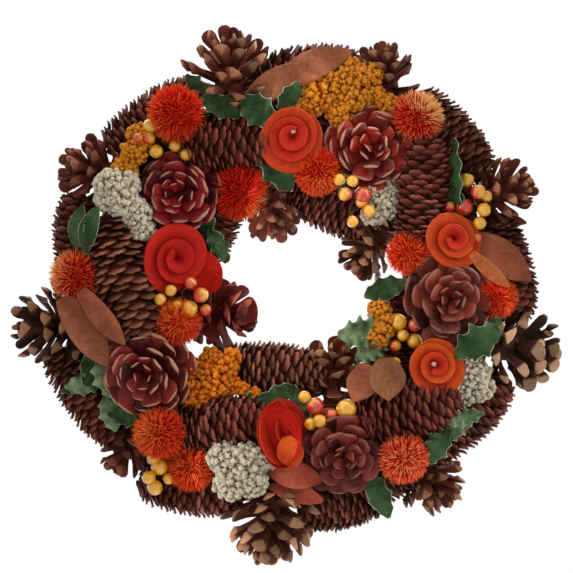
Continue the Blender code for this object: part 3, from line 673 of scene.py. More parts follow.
def rose_ribbon(turns, diameter, height, seed):
    """Ribbon wound in a spiral from one common foot: every turn flares out to a lip further out and
    lower than the one before, so each lip stands over the next turn's broad brim."""
    luck = np.random.default_rng(seed)
    steps = int(64 * turns)
    wound = np.linspace(0, 1, steps)[:, None]
    angle = 2 * np.pi * turns * wound
    drift = luck.uniform(0, 6.28, 3)
    shape = 1 + 0.09 * np.cos(angle + drift[0]) + 0.07 * np.cos(2 * angle + drift[1])
    lip = 0.5 * diameter * np.interp(wound * turns, [0, 0.6, 1.4, turns - 0.5], [0.30, 0.42, 0.66, 1.0])
    lip = lip * (1 + (shape - 1) * wound)
    top = height * (0.46 - 0.42 * wound ** 1.3 + 0.05 * wound * np.sin(2 * angle + drift[2]))
    up = np.linspace(0, 1, 8)
    face = np.concatenate([up, up[::-1]])
    sheet = np.concatenate([np.ones(8), -np.ones(8)]) * SHAVING_HALF_THICKNESS
    tuck = np.sin(0.5 * np.pi * np.clip((1 - wound) * turns / 0.30, 0, 1))
    lip = lip * (0.62 + 0.38 * tuck)
    top = top - 0.25 * height * (1 - tuck)
    foot = 0.02 * diameter
    radius = foot + (lip - foot) * face ** 1.35 + sheet * 0.6
    floor = -0.5 * height * np.interp(wound * turns, [0, 0.9, 1.6], [-0.2, 0.2, 1.0])
    level = floor + (top - floor) * np.sin(0.5 * np.pi * face) ** 0.85 - sheet * face
    rings = np.stack([radius * np.cos(angle), radius * np.sin(angle), level], -1)
    marks = np.broadcast_to(wound, radius.shape)
    lips = np.broadcast_to(face, radius.shape)
    return rings, marks, lips


def wood_rose(name, centre, axis, diameter, height, deep, bright, node, turns, seed):
    """One ribbon of shaving, stood on its foot: soft satin dye, more orange where it is further out.

    Darker red down towards the foot of each turn, between the turns, is painted shade.
    """
    rings, wound, lips = rose_ribbon(turns, diameter, height, seed)
    points, faces = closed_shell(rings)
    # Painted shade: darker red down each turn towards its foot, between the turns; the orange further out is
    # the dye's own.
    tone = with_ends(lips ** 2 * (0.35 + 0.65 * wound) + 0.15 * np.sin(9 * wound + seed))
    points = points @ standing(axis, seed).T + centre
    dye = dry_finish(name + "_dye", deep, bright, "tone", scale=420, uneven=0.5, rough=0.50, bump=0.12,
                     shine=0.10)
    finished(name, points, faces, dye, "dyed_wood_shaving", [node], {"tone": tone}, crisp=50)


SCARLET, DEEP_RED = (0.46, 0.013, 0.006), (0.34, 0.006, 0.004)
for name, lean, rise, diameter, height, nudge, deep, bright, turns, seed in (
        ("12", 200, 84, 45, 16, (0, 0, 5), (0.33, 0.006, 0.002), (0.38, 0.032, 0.005), 3.1, 1),
        ("10", 100, 74, 49, 20, (-4, 0, 12), DEEP_RED, SCARLET, 2.6, 2),
        ("2", 90, 78, 41, 16, (0, 0, 3), (0.33, 0.010, 0.003), (0.43, 0.052, 0.006), 2.8, 3),
        ("4", 115, 80, 41, 16, (0, 0, 3), (0.37, 0.012, 0.003), (0.50, 0.072, 0.006), 2.8, 4),
        ("6", 70, 52, 47, 26, (-4, 0, 5), (0.30, 0.006, 0.004), (0.42, 0.026, 0.008), 2.4, 5)):
    node = "wood_rose_" + name
    wood_rose("rolled_" + node, middle(node, *nudge), heading(lean, rise), diameter * MM, height * MM,
              deep, bright, node, turns, seed)

# ---- Bristle balls ----
# Dried globe flowers: hundreds of stiff pointed bracts grow out of one small head. They are dyed
# red, and pale to orange and straw at the points. Towards one side the points are paler still:
# painted highlight.


def round_rings(rows, count):
    """Rings of points on a ball of radius one, from its lowest row to its highest."""
    turn = 2 * np.pi * np.arange(count) / count
    polar = np.pi * (np.arange(rows) + 0.5) / rows
    flat = np.sin(polar)[:, None]
    return np.stack([flat * np.cos(turn), flat * np.sin(turn), -np.cos(polar)[:, None] + 0 * turn], -1)


def even_directions(count, luck, jitter):
    """Directions spread evenly over a sphere on a golden spiral, each moved a little."""
    level = 1 - 2 * (np.arange(count) + 0.5) / count
    angle = GOLDEN_ANGLE * np.arange(count)
    flat = np.sqrt(1 - level ** 2)
    ways = np.stack([flat * np.cos(angle), flat * np.sin(angle), level], -1)
    return unit(ways + luck.normal(0, jitter, ways.shape))


def bristle():
    """Thin three-sided spike one unit long that bows slightly and runs to a point."""
    along = np.array([0.0, 0.45, 0.8, 1.0])
    width = np.array([0.036, 0.036, 0.026, 0.004])
    turn = 2 * np.pi * np.arange(3) / 3
    x = width[:, None] * np.cos(turn)
    y = width[:, None] * np.sin(turn) + 0.10 * along[:, None] ** 2
    z = np.broadcast_to(along[:, None], x.shape)
    return np.stack([x, y, z], -1), z


def axes_along(ways, luck):
    """Axes whose third column is each way, turned about it by chance."""
    guide = unit(luck.normal(0, 1, ways.shape))
    side = unit(np.cross(guide, ways))
    return np.stack([side, np.cross(ways, side), ways], -1)


def bristle_ball(name, centre, diameter, deep, pale, lit_side_highlight, side, seed, nodes=()):
    """Spikes stand on a small core; towards one side the points are paler, a painted highlight."""
    luck = np.random.default_rng(seed)
    count = BRISTLES
    rings, along = bristle()
    marks = with_ends(along)
    ways = even_directions(count, luck, 0.10)
    length = 0.5 * diameter * luck.uniform(0.42, 0.58, count)
    turns = axes_along(ways, luck) * length[:, None, None]
    spikes = copies(*closed_shell(rings), turns, 0.25 * diameter * ways)
    # Painted highlight: spikes that face the lit side are pushed towards the pale tone.
    lit = np.clip(ways @ unit(np.array(side, float)), 0, 1) ** 2 * lit_side_highlight
    marks = np.tile(marks, count) + np.repeat(lit + luck.normal(0, 0.08, count), len(marks))
    core = closed_shell(0.28 * diameter * round_rings(9, 14))
    marks = np.concatenate([marks, np.full(len(core[0]), -0.2)])
    points, faces = joined([spikes, core])
    finish = dry_finish(name + "_bracts", deep, pale, "along", scale=700, uneven=0.35, rough=0.6, bump=0.1,
                        low=0.62, high=1.50)
    finished(name, points + centre, faces, finish, "bristle", nodes, {"along": marks})


BRACT, BRACT_DEEP = (0.68, 0.018, 0.009), (0.74, 0.024, 0.011)
GLOW, STRAW = (0.95, 0.23, 0.045), (0.95, 0.50, 0.18)
BRISTLES = 1500
# Each row: name, diameter, pale tone, and the strength and side of the painted highlight.
for name, diameter, pale, lit_side_highlight, side in (
        ("outer_11", 40, GLOW, 0.2, (-1, -0.5, -0.6)),
        ("inner_11", 40, (0.85, 0.13, 0.02), 0.5, (1, -0.3, -1)),
        ("top_12", 34, GLOW, 0.45, (0.2, -1, -0.6)),
        ("outer_1", 37, STRAW, 1.0, (1, -0.7, 1)),
        ("outer_9", 36, STRAW, 0.4, (-1, -0.4, 0.2)),
        ("lower_7", 36, GLOW, 0.8, (-0.5, -1, 0))):
    node = "bristle_ball_" + name
    bristle_ball("spiky_" + node, middle(node), diameter * MM, BRACT, pale, lit_side_highlight, side, diameter, [node])

# More of the same heads, smaller or half hidden, glued in between.
# Each row: name, place in mm, diameter, pale tone, and the strength and side of the painted highlight.
for name, place, diameter, pale, lit_side_highlight, side in (
        ("left_8", (-73, -20, 54), 33, GLOW, 0.85, (0, -1, 0.3)),
        ("right_2", (82, 26, 50), 31, GLOW, 0.4, (0, -1, 0)),
        ("right_3", (141, -4, 44), 30, GLOW, 0.4, (1, -1, 0)),
        ("foot_7", (-64, -117, 46), 34, GLOW, 0.6, (0, -1, 0)),
        ("foot_5", (78, -111, 54), 35, STRAW, 0.45, (0, -1, 0))):
    bristle_ball("spiky_bristle_ball_" + name, at(*place), diameter * MM, BRACT_DEEP, pale, lit_side_highlight, side,
                 len(name))

# ---- Bleached and ochre flower heads ----
# Dried yarrow-like heads of tiny florets on short branching stalks: some bleached cream, others
# dyed ochre. Each floret darkens towards its foot and the lumps beneath are dark too: painted
# shade deep down between the florets, grey-beige in cream heads and orange-red in ochre ones.


def floret():
    """Little knobbly bead half a unit in radius, with four lobes round its waist."""
    ball = round_rings(5, 10)
    waist = np.hypot(ball[..., 0], ball[..., 1])
    bulge = 0.5 * (1 + 0.42 * waist * np.cos(2 * np.pi * 4 * np.arange(10) / 10))
    return ball * np.stack([bulge, bulge, np.full(bulge.shape, 0.5)], -1)


def florets_on(centres, radii, size, luck):
    """Places and ways of florets over the outside of overlapping lumps, not inside another one."""
    spots, ways = [], []
    for number, (centre, radius) in enumerate(zip(centres, radii)):
        count = int(4 * np.pi * radius ** 2 / (size * FLORET_SPACING) ** 2 * 0.62)
        way = even_directions(count, luck, 0.12)
        spot = centre + way * radius * luck.uniform(0.74, 1.08, count)[:, None]
        others = np.arange(len(radii)) != number
        apart = np.linalg.norm(spot[:, None] - centres[None, others], axis=-1)
        shown = (apart > radii[None, others] * 0.88).all(1) & (way[:, 1] < 0.55)
        spots.append(spot[shown])
        ways.append(way[shown])
    ways = np.concatenate(ways)
    return np.concatenate(spots), unit(ways + luck.normal(0, 0.25, ways.shape))


def cluster(name, lumps, size, tones, slot, nodes, seed, long):
    """Florets on several round lumps: rows of a lump's place and its radius in mm."""
    luck = np.random.default_rng(seed)
    bead = closed_shell(floret())
    height = bead[0][:, 2] + 0.5
    centres = np.array([place for place, _ in lumps])
    radii = np.array([radius for _, radius in lumps]) * MM
    spots, ways = florets_on(centres, radii, size, luck)
    grown = size * luck.uniform(0.75, 1.2, len(spots))
    turns = axes_along(ways, luck) * grown[:, None, None]
    turns[:, :, 2] *= long
    # Painted shade: each floret's mark runs from its foot to its top, so the deep tone sits down between the
    # florets.
    marks = np.tile(height, len(spots)) + np.repeat(luck.normal(0, 0.10, len(spots)), len(height))
    hearts = joined([closed_shell(0.80 * radius * round_rings(6, 10) + centre)
                     for centre, radius in zip(centres, radii)])
    points, faces = joined([copies(*bead, turns, spots), hearts])
    # The hearts below the florets take the deep tone: painted shade.
    marks = np.concatenate([marks, np.full(len(hearts[0]), -0.3)])
    finish = dry_finish(name + "_florets", *tones, "along", scale=1100, uneven=0.5, rough=0.7, bump=0.3,
                        low=-0.3, high=0.8)
    finished(name, points, faces, finish, slot, nodes, {"along": marks})


FLORET_SPACING = 0.62
# In each pair the first tone is painted shade deep down between florets, the second the florets' own colour.
CREAM = ((0.28, 0.232, 0.150), (0.46, 0.405, 0.295))
PALE_CREAM = ((0.36, 0.30, 0.195), (0.55, 0.485, 0.355))
OCHRE = ((0.40, 0.050, 0.004), (0.56, 0.205, 0.018))
RUST_OCHRE = ((0.46, 0.055, 0.004), (0.58, 0.165, 0.012))
for seed, (name, where, size, tones, slot, long, lumps) in enumerate((
        ("cream_flower_head_10", "cream_flowers_10", 3.9, PALE_CREAM, "cream_floret", 1.0, (
            (-12, 12, 2, 10), (-4, 2, 4, 11), (6, -8, 3, 10), (-14, 2, 0, 8), (10, -17, 2, 8),
            (0, 12, 0, 8))),
        ("cream_flower_head_6", "cream_flowers_6", 3.9, CREAM, "cream_floret", 1.0, (
            (-11, 8, 1, 11), (2, 6, 3, 12), (12, 6, 0, 9), (-7, -8, 1, 11), (6, -6, 2, 11))),
        ("cream_flower_head_4", "cream_flowers_4", 3.9, CREAM, "cream_floret", 1.0, (
            (-3, 10, 1, 9), (2, 0, 2, 10), (5, -10, 0, 9), (-6, -12, 0, 9))),
        ("cream_flower_head_2", (63, 59, 46), 3.9, CREAM, "cream_floret", 1.0, (
            (-3, 8, 0, 8), (4, 0, 1, 9), (-4, -6, 0, 8), (8, 10, 0, 6))),
        ("ochre_flower_head_12", "yellow_flowers_12", 3.7, OCHRE, "ochre_floret", 1.25, (
            (-12, 3, 1, 11), (0, 8, 2, 11), (10, 0, 2, 11), (2, -10, 0, 9), (16, 12, 0, 9), (-16, -4, 0, 8),
            (25, 0, 0, 6), (6, 18, 0, 8), (33, -5, 0, 6), (41, -8, 0, 5), (-26, -8, 0, 5), (22, 14, 0, 7),
            (4, -20, 0, 5))),
        ("ochre_flower_head_7", "yellow_flowers_7", 3.6, RUST_OCHRE, "ochre_floret", 1.25, (
            (-8, -8, 2, 11), (2, 0, 3, 11), (10, 9, 2, 8), (16, 16, 0, 5), (-10, 6, 0, 8), (2, 14, 0, 7),
            (15, -3, 0, 6), (23, -6, 0, 4), (31, -9, 0, 3.4), (-2, -18, 0, 6))),
        ("ochre_flower_head_10", (-104, 92, 50), 3.6, OCHRE, "ochre_floret", 1.2, (
            (-4, -10, 0, 8), (2, 2, 1, 8), (6, 12, 0, 8))),
        ("ochre_flower_head_3", (65, -20, 44), 3.6, OCHRE, "ochre_floret", 1.2, (
            (-2, 8, 0, 7), (2, -2, 1, 8), (-3, -10, 0, 7)))), start=1):
    nodes = [where] if isinstance(where, str) else []
    centre = middle(where) if nodes else at(*where)
    placed = [(centre + MM * np.array([right, -front, up]), radius) for right, up, front, radius in lumps]
    cluster(name, placed, size * MM, tones, slot, nodes, seed, long)

# ---- Berry picks ----
# Lacquered berries on thin bound wires, yellow that blushes to orange and red on one side, each
# with a small dark calyx where it meets its wire. The red on the lower back side is partly their
# own blush and partly painted shade.


# The second colour is both the berries' own red and painted shade on their lower back side.
YELLOW, BLUSH_AND_SHADE = (0.70, 0.335, 0.012), (0.52, 0.026, 0.005)
lacquer = dry_finish("berry_lacquer", YELLOW, BLUSH_AND_SHADE, "blush", scale=260, uneven=0.5, rough=0.08, bump=0.03,
                     low=0.15, high=0.95, coat=1.0, shine=0.4)
lacquer.node_tree.nodes["Principled BSDF"].inputs["Coat Roughness"].default_value = 0.08
stalk = dry_finish("berry_stalk", (0.05, 0.02, 0.012), (0.16, 0.08, 0.03), "tone", scale=600, rough=0.7)


def berry_ball(centre, diameter, red, luck):
    """Ball with a dimple at one end, redder towards its lower back side: its blush and painted shade."""
    polar = np.pi * (np.arange(12) + 0.5) / 12
    dimple = 1 - 0.10 * np.exp(-(polar / 0.35) ** 2)[:, None, None]
    axes = standing(unit(luck.normal(0, 1, 3) + np.array([0, 0.4, -0.6])))
    points, faces = closed_shell((0.5 * diameter * dimple * round_rings(12, 20)) @ axes.T + centre)
    # Painted shade: the red share rises towards the berry's lower back side, away from the light, on top of
    # its own redness.
    side = unit(np.array([luck.normal(0, 1), 0.9, -0.8]))
    blush = red + 0.75 * (unit(points - centre) @ side)
    return points, faces, blush


def berry_pick(name, berries, node, seed):
    """Berries from rows of place and mm and redness, each on a wire down to a common stalk."""
    luck = np.random.default_rng(seed)
    balls, blush_and_shade_marks, wires = [], [], []
    places = np.array([place for place, _, _ in berries])
    knot = places.mean(0) + np.array([0, 16 * MM, 0])
    for place, size, red in berries:
        points, faces, blush = berry_ball(place, size * MM, red, luck)
        balls.append((points, faces))
        blush_and_shade_marks.append(blush)
        steps = np.linspace(0, 1, 8)[:, None]
        bow = np.sin(np.pi * steps) * luck.normal(0, 2.0 * MM, 3)
        wires.append(wire_along(place + (knot - place) * steps + bow, 1.3 * MM, sides=5))
    blush = {"blush": np.concatenate(blush_and_shade_marks)}
    finished("berries_" + name, *joined(balls), lacquer, "berry_lacquer", [node], blush)
    points, faces = joined(wires)
    tone = {"tone": np.full(len(points), 0.6)}
    finished("berry_wires_" + name, points, faces, stalk, "bound_twig", marks=tone)


# For each pick, its berries: mm right of and above the ring's centre, size, and how red.
picks = {
    "11": ((-91, 111, 10, .2), (-87, 94, 9.5, .2), (-74, 98, 9, .3), (-67, 92, 9, .3), (-99, 103, 6.5, 1.1),
           (-92, 103, 9, .8)),
    "1": ((35, 75, 8.5, .1), (44, 74, 8, .2), (39, 65, 9, .6), (51, 65, 11.5, 1.4), (55, 54, 9, .2),
          (44, 47, 8, .2), (50, 60, 8, .6)),
    "2": ((121, 75, 9.5, .2), (128, 67, 10.5, .7), (119, 57, 12, 1.5), (132, 55, 9.5, .1), (129, 46, 9, .1),
          (127, 36, 8.5, 1.2), (109, 57, 8, 1.2), (134, 64, 8, .3)),
    "9": ((-64, 6, 8.5, 1.2), (-77, 1, 8, .2), (-84, -5, 8.5, .4), (-73, -9, 7.5, .1), (-65, -11, 11.5, .4),
          (-57, -2, 10.5, .8), (-54, -12, 8, 1.2)),
    "4": ((75, -20, 11.5, .3), (86, -22, 9, 1.4), (78, -29, 8, .2), (86, -33, 10.5, .6), (73, -36, 8, .8),
          (73, -47, 7, .8), (90, -18, 8, 1.1)),
    "5": ((12, -70, 8.5, .2), (19, -76, 12, 1.3), (30, -82, 8.5, 1.3), (40, -78, 13.5, .35),
          (22, -86, 9.5, .2), (16, -88, 8.5, .2)),
    "7": ((-89, -111, 10, .3), (-85, -117, 12, .3), (-71, -116, 8, .2), (-79, -125, 8, .2),
          (-92, -124, 9.5, .3), (-88, -131, 10.5, .4))}
# Millimetres that some picks stand further to the front than the middle of their node.
raised = {"9": 17, "5": 15, "7": 13, "2": 5, "1": 3}
for name, rows in picks.items():
    node = "berry_pick_" + name
    front = -1000 * middle(node)[1] + raised.get(name, 0)
    luck = np.random.default_rng(len(rows))
    berries = [(at(right, up, front + luck.uniform(-3, 3)), size, red) for right, up, size, red in rows]
    berry_pick(name, berries, node, len(name) + len(rows))

for name, (right, up, front) in (("12", (4.5, 107, 66)), ("4", (98, -48, 64))):
    points, faces, _ = berry_ball(at(right, up, front), 3.4 * MM, 0.0, np.random.default_rng(3))
    pearl = dry_finish("pearl_pin_" + name, (0.24, 0.16, 0.12), (0.36, 0.27, 0.21), "blush", rough=0.25,
                       bump=0.02, coat=0.5)
    finished("pearl_pin_head_" + name, points, faces, pearl, "berry_lacquer",
             marks={"blush": np.linspace(0, 1, len(points))})

# ---- Leaves ----
# Dried and dyed leaves: dusty green ones with a pale cut edge, some crinkled like holly, and
# smooth terracotta or salmon ones. Each is glued by its base between the other pieces.


def leaf_shell(length, width, seed, bow=0.0, fold=0.15, ripple=0.0, waves=3.4, teeth=0.0, curl=0.0, blunt=0.8,
               tip=0.8):
    """Leaf as a thin closed sheet: rows across its length, out over the top and back under it.

    The rib is folded, the blade bows along its length, and its margin ripples in waves."""
    luck = np.random.default_rng(seed)
    along = np.linspace(0, 1, 38)[:, None]
    power = blunt + (tip - blunt) * along
    half = 0.5 * width * np.sin(np.pi * np.clip(0.03 + 0.95 * along, 0, 1)) ** power
    half = half * (1 - teeth + 1.6 * teeth * np.abs(np.cos(waves * np.pi * along + 0.4)) ** 5)
    span = np.array([1, 0.93, 0.7, 0.35, 0.0, -0.35, -0.7, -0.93,
                     -1, -0.93, -0.7, -0.35, 0.0, 0.35, 0.7, 0.93])
    face = np.array([0, 1, 1, 1, 1, 1, 1, 1, 0, -1, -1, -1, -1, -1, -1, -1])
    phase = luck.uniform(0, 6.28, 2)
    x = half * span
    wave = np.sin(2 * np.pi * waves * along + phase[0] + np.sign(span) * phase[1])
    z = fold * np.abs(x) + ripple * width * span ** 2 * wave + bow * np.sin(np.pi * along)
    z = z + curl * width * span ** 2 + LEAF_HALF_THICKNESS * face
    veins = VEIN_HEIGHT * np.cos(2 * np.pi * (9 * along - 2.2 * np.abs(span)))
    z = z + veins * (face > 0)
    y = length * (along - 0.5) + 0 * x
    rings = np.stack([x, y, z], -1)
    edge = np.clip((np.abs(span) - 0.80) / 0.2, 0, 1) + 0 * along
    edge = np.maximum(edge, np.clip((along - 0.95) / 0.05, 0, 1))
    return rings[:, ::-1], edge[:, ::-1]


LEAF_HALF_THICKNESS, VEIN_HEIGHT = 0.3 * MM, 0.2 * MM
LEAF_KINDS = {}
for kind, name, slot, deep, pale, edge_tone, edge_start in (
        ("green", "green_leaf_blade", "green_leaf",
         (0.020, 0.042, 0.014), (0.058, 0.105, 0.042), (0.42, 0.46, 0.30), 0.55),
        ("pale", "pale_green_leaf_blade", "green_leaf",
         (0.060, 0.110, 0.045), (0.22, 0.29, 0.15), (0.50, 0.54, 0.38), 0.6),
        ("brown", "terracotta_leaf_blade", "brown_leaf",
         (0.18, 0.054, 0.026), (0.31, 0.104, 0.052), (0.26, 0.12, 0.07), 0.8),
        ("salmon", "salmon_leaf_blade", "salmon_leaf",
         (0.22, 0.034, 0.020), (0.35, 0.078, 0.042), (0.30, 0.11, 0.065), 0.8),
        ("petal", "loose_petal_dye", "dyed_wood_shaving",
         (0.30, 0.005, 0.003), (0.42, 0.014, 0.006), (0.45, 0.03, 0.01), 0.8),
        ("orange", "petal_lip_dye", "dyed_wood_shaving",
         (0.36, 0.026, 0.006), (0.50, 0.075, 0.015), (0.52, 0.10, 0.02), 0.8),
        ("amber", "amber_leaf_blade", "salmon_leaf",
         (0.36, 0.085, 0.025), (0.50, 0.19, 0.07), (0.35, 0.12, 0.05), 0.8),
        ("rusty", "rusty_leaf_blade", "brown_leaf",
         (0.20, 0.056, 0.030), (0.38, 0.112, 0.056), (0.14, 0.052, 0.029), 0.7),
        ("tan", "tan_leaf_blade", "brown_leaf",
         (0.13, 0.050, 0.022), (0.26, 0.105, 0.045), (0.09, 0.035, 0.018), 0.7)):
    blade = dry_finish(name, deep, pale, "tone", scale=350, uneven=1.2, rough=0.62, bump=0.35)
    LEAF_KINDS[kind] = (tone_over(blade, mark_of(blade.node_tree, "edge"), edge_start, 1.0, edge_tone), slot)


def leaf(name, kind, place, clock, length, width, rise=0, roll=0, nodes=(), **shape):
    """One leaf: its tip points to the clock angle, its face to the front, rolled about its rib."""
    seed = len(name) + int(length)
    rings, edge = leaf_shell(length * MM, width * MM, seed, **shape)
    points, faces = closed_shell(rings)
    rib = heading(clock, rise)
    face = unit(np.array([0, -1.0, 0]) - rib * (rib @ np.array([0, -1.0, 0])))
    side = np.cross(rib, face)
    turn = math.radians(roll)
    face, side = math.cos(turn) * face + math.sin(turn) * side, math.cos(turn) * side - math.sin(turn) * face
    points = points @ np.stack([side, rib, face], -1).T + place
    finish, slot = LEAF_KINDS[kind]
    tone = 0.5 + 0.3 * np.sin(points @ np.array([170.0, 0, 130.0]) + seed)
    finished(name, points, faces, finish, slot, nodes, {"edge": with_ends(edge), "tone": tone})


leaf("terracotta_leaf_9", "brown", middle("brown_leaf_9", -1, -1, 10), 146, 55, 23, roll=-15,
     nodes=["brown_leaf_9"], bow=0.003, fold=0.10, blunt=0.4, tip=0.9)
leaf("salmon_leaf_upper_6", "salmon", middle("salmon_leaf_6"), 283, 40, 19, nodes=["salmon_leaf_6"],
     bow=0.004, fold=0.2)
leaf("crinkled_leaf_4", "pale", middle("green_leaf_4", 3, 6, 5), 62, 38, 16,
     nodes=["green_leaf_4"], ripple=0.34, waves=5.5, teeth=0.22)
for name, kind, place, clock, length, width, roll, shape in (
        ("loose_petal_10", "petal", (-57, 14, 49), 140, 34, 27, 0,
         {"rise": -8, "blunt": 0.45, "tip": 0.7, "bow": 0.005}),
        ("cup_petal_6", "petal", (-2.5, -94, 67), 175, 45, 32, 22,
         {"rise": -12, "blunt": 0.5, "tip": 0.62, "bow": -0.003, "curl": 0.22}),
        ("cup_lip_6", "orange", (3, -106, 68), 165, 22, 18, 10,
         {"rise": -10, "blunt": 0.5, "tip": 0.8, "bow": 0.002}),
        ("terracotta_leaf_8", "rusty", (-122, -17, 66), 141, 47, 16, 15,
         {"fold": 0.3, "blunt": 0.35, "tip": 0.9}),
        ("terracotta_leaf_top_1", "brown", (18, 150, 50), 66, 56, 22, -20, {"bow": 0.004}),
        ("terracotta_leaf_top_2", "brown", (-8, 140, 54), 60, 50, 20, 15, {"fold": 0.3}),
        ("terracotta_leaf_3", "brown", (144, 24, 46), 128, 50, 24, 10, {"bow": 0.004}),
        ("curled_leaf_3", "amber", (136, 15, 60), 132, 34, 11, 25, {"fold": 0.5, "blunt": 0.4, "tip": 0.8}),
        ("round_leaf_5", "rusty", (50, -61, 62), 205, 27, 21, 0, {"blunt": 0.45, "tip": 1.1, "bow": 0.003}),
        ("round_leaf_4", "tan", (67, -58, 66), 176, 29, 25, 0, {"blunt": 0.42, "tip": 1.1, "bow": 0.003}),
        ("salmon_leaf_lower_6", "salmon", (6, -135, 52), 285, 38, 15, 20, {"bow": 0.003})):
    leaf(name, kind, at(*place), clock, length, width, roll=roll, **shape)
for name, kind, place, clock, length, width, roll, ripple, teeth, shape in (
        ("holly_leaf_a", "green", (-58, 135, 50), 140, 28, 16, 20, 0.12, 0.2, {}),
        ("holly_leaf_b", "green", (-43, 124, 56), 112, 32, 18, -10, 0.15, 0.25, {}),
        ("holly_leaf_c", "green", (-19, 121, 60), 130, 28, 23, 0, 0.12, 0.15, {}),
        ("holly_leaf_d", "green", (2, 131, 56), 40, 24, 15, 30, 0.1, 0, {}),
        ("holly_leaf_e", "green", (-7, 83, 52), 145, 38, 22, 10, 0.12, 0.2, {}),
        ("green_leaf_10", "green", (-54, 39, 46), 165, 38, 20, 20, 0.22, 0.2, {}),
        ("green_leaf_10b", "green", (-46, 31, 48), 150, 26, 15, -20, 0.22, 0.2, {}),
        ("green_leaf_9", "green", (-130, 41, 58), 194, 33, 15, 25, 0, 0, {"fold": 0.3, "bow": 0.003}),
        ("green_leaf_9b", "green", (-138, 43, 53), 188, 30, 14, 35, 0, 0, {"fold": 0.2, "bow": 0.003}),
        ("green_leaf_2", "green", (114, 80, 56), 176, 46, 14, 62, 0.1, 0, {}),
        ("green_leaf_2b", "green", (113, 62, 52), 160, 24, 14, 30, 0.1, 0, {}),
        ("green_leaf_3", "green", (66, 2, 46), 250, 30, 17, 10, 0.14, 0.12, {}),
        ("pale_leaf_3", "pale", (52, -28, 46), 268, 36, 24, 0, 0.3, 0.25, {"waves": 5}),
        ("pale_leaf_3b", "pale", (58, -38, 44), 235, 28, 20, 0, 0.3, 0.25, {"waves": 5}),
        ("green_leaf_4a", "green", (127, -33, 57), 58, 36, 25, 10, 0.16, 0.2, {"fold": 0.3}),
        ("green_leaf_4b", "green", (134, -28, 52), 40, 28, 15, -20, 0.1, 0, {}),
        ("crinkled_leaf_4b", "pale", (119, -84, 56), 75, 26, 13, 0, 0.34, 0.2, {"waves": 5}),
        ("green_leaf_5", "green", (101, -104, 52), 215, 28, 16, 0, 0.14, 0.2, {}),
        ("green_leaf_6", "green", (62, -136, 48), 155, 34, 17, 10, 0.1, 0.1, {}),
        ("green_leaf_7", "green", (-22, -76, 46), 262, 30, 18, 0, 0.2, 0.2, {}),
        ("green_leaf_7b", "green", (-6, -69, 48), 64, 28, 15, 15, 0.18, 0.15, {}),
        ("green_leaf_7c", "green", (8, -76, 46), 165, 26, 13, -15, 0.2, 0, {}),
        ("green_leaf_8a", "green", (-129, -49, 44), 200, 32, 18, 10, 0.12, 0, {}),
        ("green_leaf_8b", "green", (-140, -60, 38), 235, 28, 14, 20, 0.16, 0.2, {}),
        ("pale_leaf_8", "pale", (-121, -57, 48), 160, 30, 19, -10, 0.2, 0.2, {}),
        ("pale_leaf_8b", "pale", (-118, -81, 46), 165, 26, 16, 0, 0.2, 0.2, {}),
        ("pale_leaf_8c", "pale", (-136, -62, 42), 262, 26, 16, 10, 0.22, 0.22, {}),
        ("green_leaf_8c", "green", (-107, -83, 50), 100, 26, 15, 10, 0.16, 0.2, {})):
    leaf(name, kind, at(*place), clock, length, width, roll=roll, ripple=ripple, teeth=teeth, **shape)

# ---- Floor, light and camera ----
# The wreath hangs in a pale studio: broad soft light from the front and above, white all round.

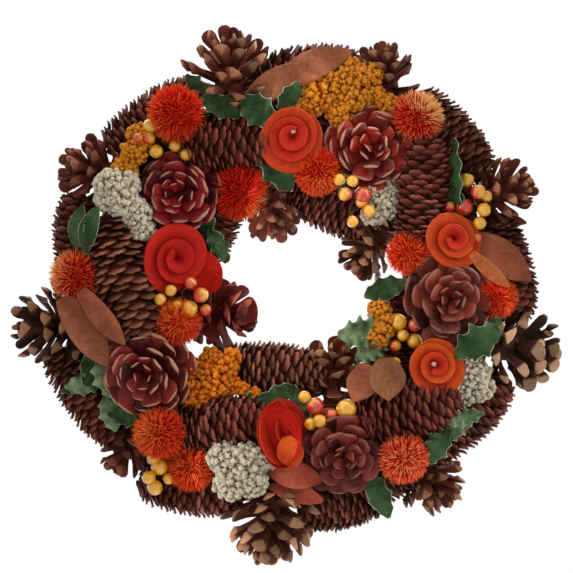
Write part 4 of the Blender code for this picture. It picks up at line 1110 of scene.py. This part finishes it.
floor_mesh = bpy.data.meshes.new("studio_floor")
FLOOR_SIDES, FLOOR_RADIUS, FLOOR_DROP = 64, 1.2, 0.30
edge_turn = 2 * np.pi * np.arange(FLOOR_SIDES) / FLOOR_SIDES
rim = np.stack([FLOOR_RADIUS * np.cos(edge_turn), FLOOR_RADIUS * np.sin(edge_turn),
                np.full(FLOOR_SIDES, cad_low[2] - FLOOR_DROP)], -1)
floor_mesh.from_pydata(rim.tolist(), [], [list(range(FLOOR_SIDES))])
floor = bpy.data.objects.new("studio_floor", floor_mesh)
bpy.context.scene.collection.objects.link(floor)
floor_paint = bpy.data.materials.new("studio_floor_paint")
floor_paint.use_nodes = True
floor_shader = floor_paint.node_tree.nodes["Principled BSDF"]
floor_shader.inputs["Base Color"].default_value = (0.85, 0.85, 0.85, 1)
floor_shader.inputs["Roughness"].default_value = 0.7
floor_mesh.materials.append(floor_paint)

world = bpy.data.worlds.new("studio")
bpy.context.scene.world = world
world.use_nodes = True
air = world.node_tree
backdrop = air.nodes["Background"]
WHITE, ROOM_LIGHT = (1, 1, 1, 1), 0.80
backdrop.inputs["Color"].default_value = WHITE
backdrop.inputs["Strength"].default_value = 1.0
room = new_node(air, "Background", {"Color": WHITE, "Strength": ROOM_LIGHT})
either = new_node(air, "MixShader", {0: new_node(air, "LightPath").outputs["Is Camera Ray"],
                                     1: room.outputs[0], 2: backdrop.outputs[0]})
air.links.new(either.outputs[0], air.nodes["World Output"].inputs["Surface"])

wreath_middle = np.array([0, -0.035, ring_centre[2]])


def soft_light(name, offset, power):
    """Square soft box that looks at the wreath's middle from an offset in metres."""
    lamp = bpy.data.lights.new(name, "AREA")
    lamp.shape = "SQUARE"
    lamp.size = SOFTBOX_SIZE
    lamp.energy = power
    box = bpy.data.objects.new(name, lamp)
    pose = np.eye(4)
    pose[:3, :3] = standing(offset)
    pose[:3, 3] = wreath_middle + np.array(offset)
    box.matrix_world = pose.tolist()
    bpy.context.scene.collection.objects.link(box)


SOFTBOX_SIZE = 0.8
soft_light("key_softbox", (-0.6, -1.8, 1.0), 4.3)
soft_light("fill_softbox", (0.9, -1.9, 0.4), 2.6)

CAMERA_DISTANCE, SEEN_WIDTH, SENSOR_WIDTH = 2.4, 0.386, 36.0
camera = bpy.data.cameras.new("camera")
camera.sensor_width = SENSOR_WIDTH
camera.lens = SENSOR_WIDTH * CAMERA_DISTANCE / SEEN_WIDTH
camera.clip_end = 20.0
viewer = bpy.data.objects.new("camera", camera)
viewer.location = wreath_middle + np.array([0, -CAMERA_DISTANCE, 3.7 * MM])
viewer.rotation_euler = (math.pi / 2, 0, 0)
bpy.context.scene.collection.objects.link(viewer)
bpy.context.scene.camera = viewer
bpy.context.scene.view_settings.view_transform = "Standard"
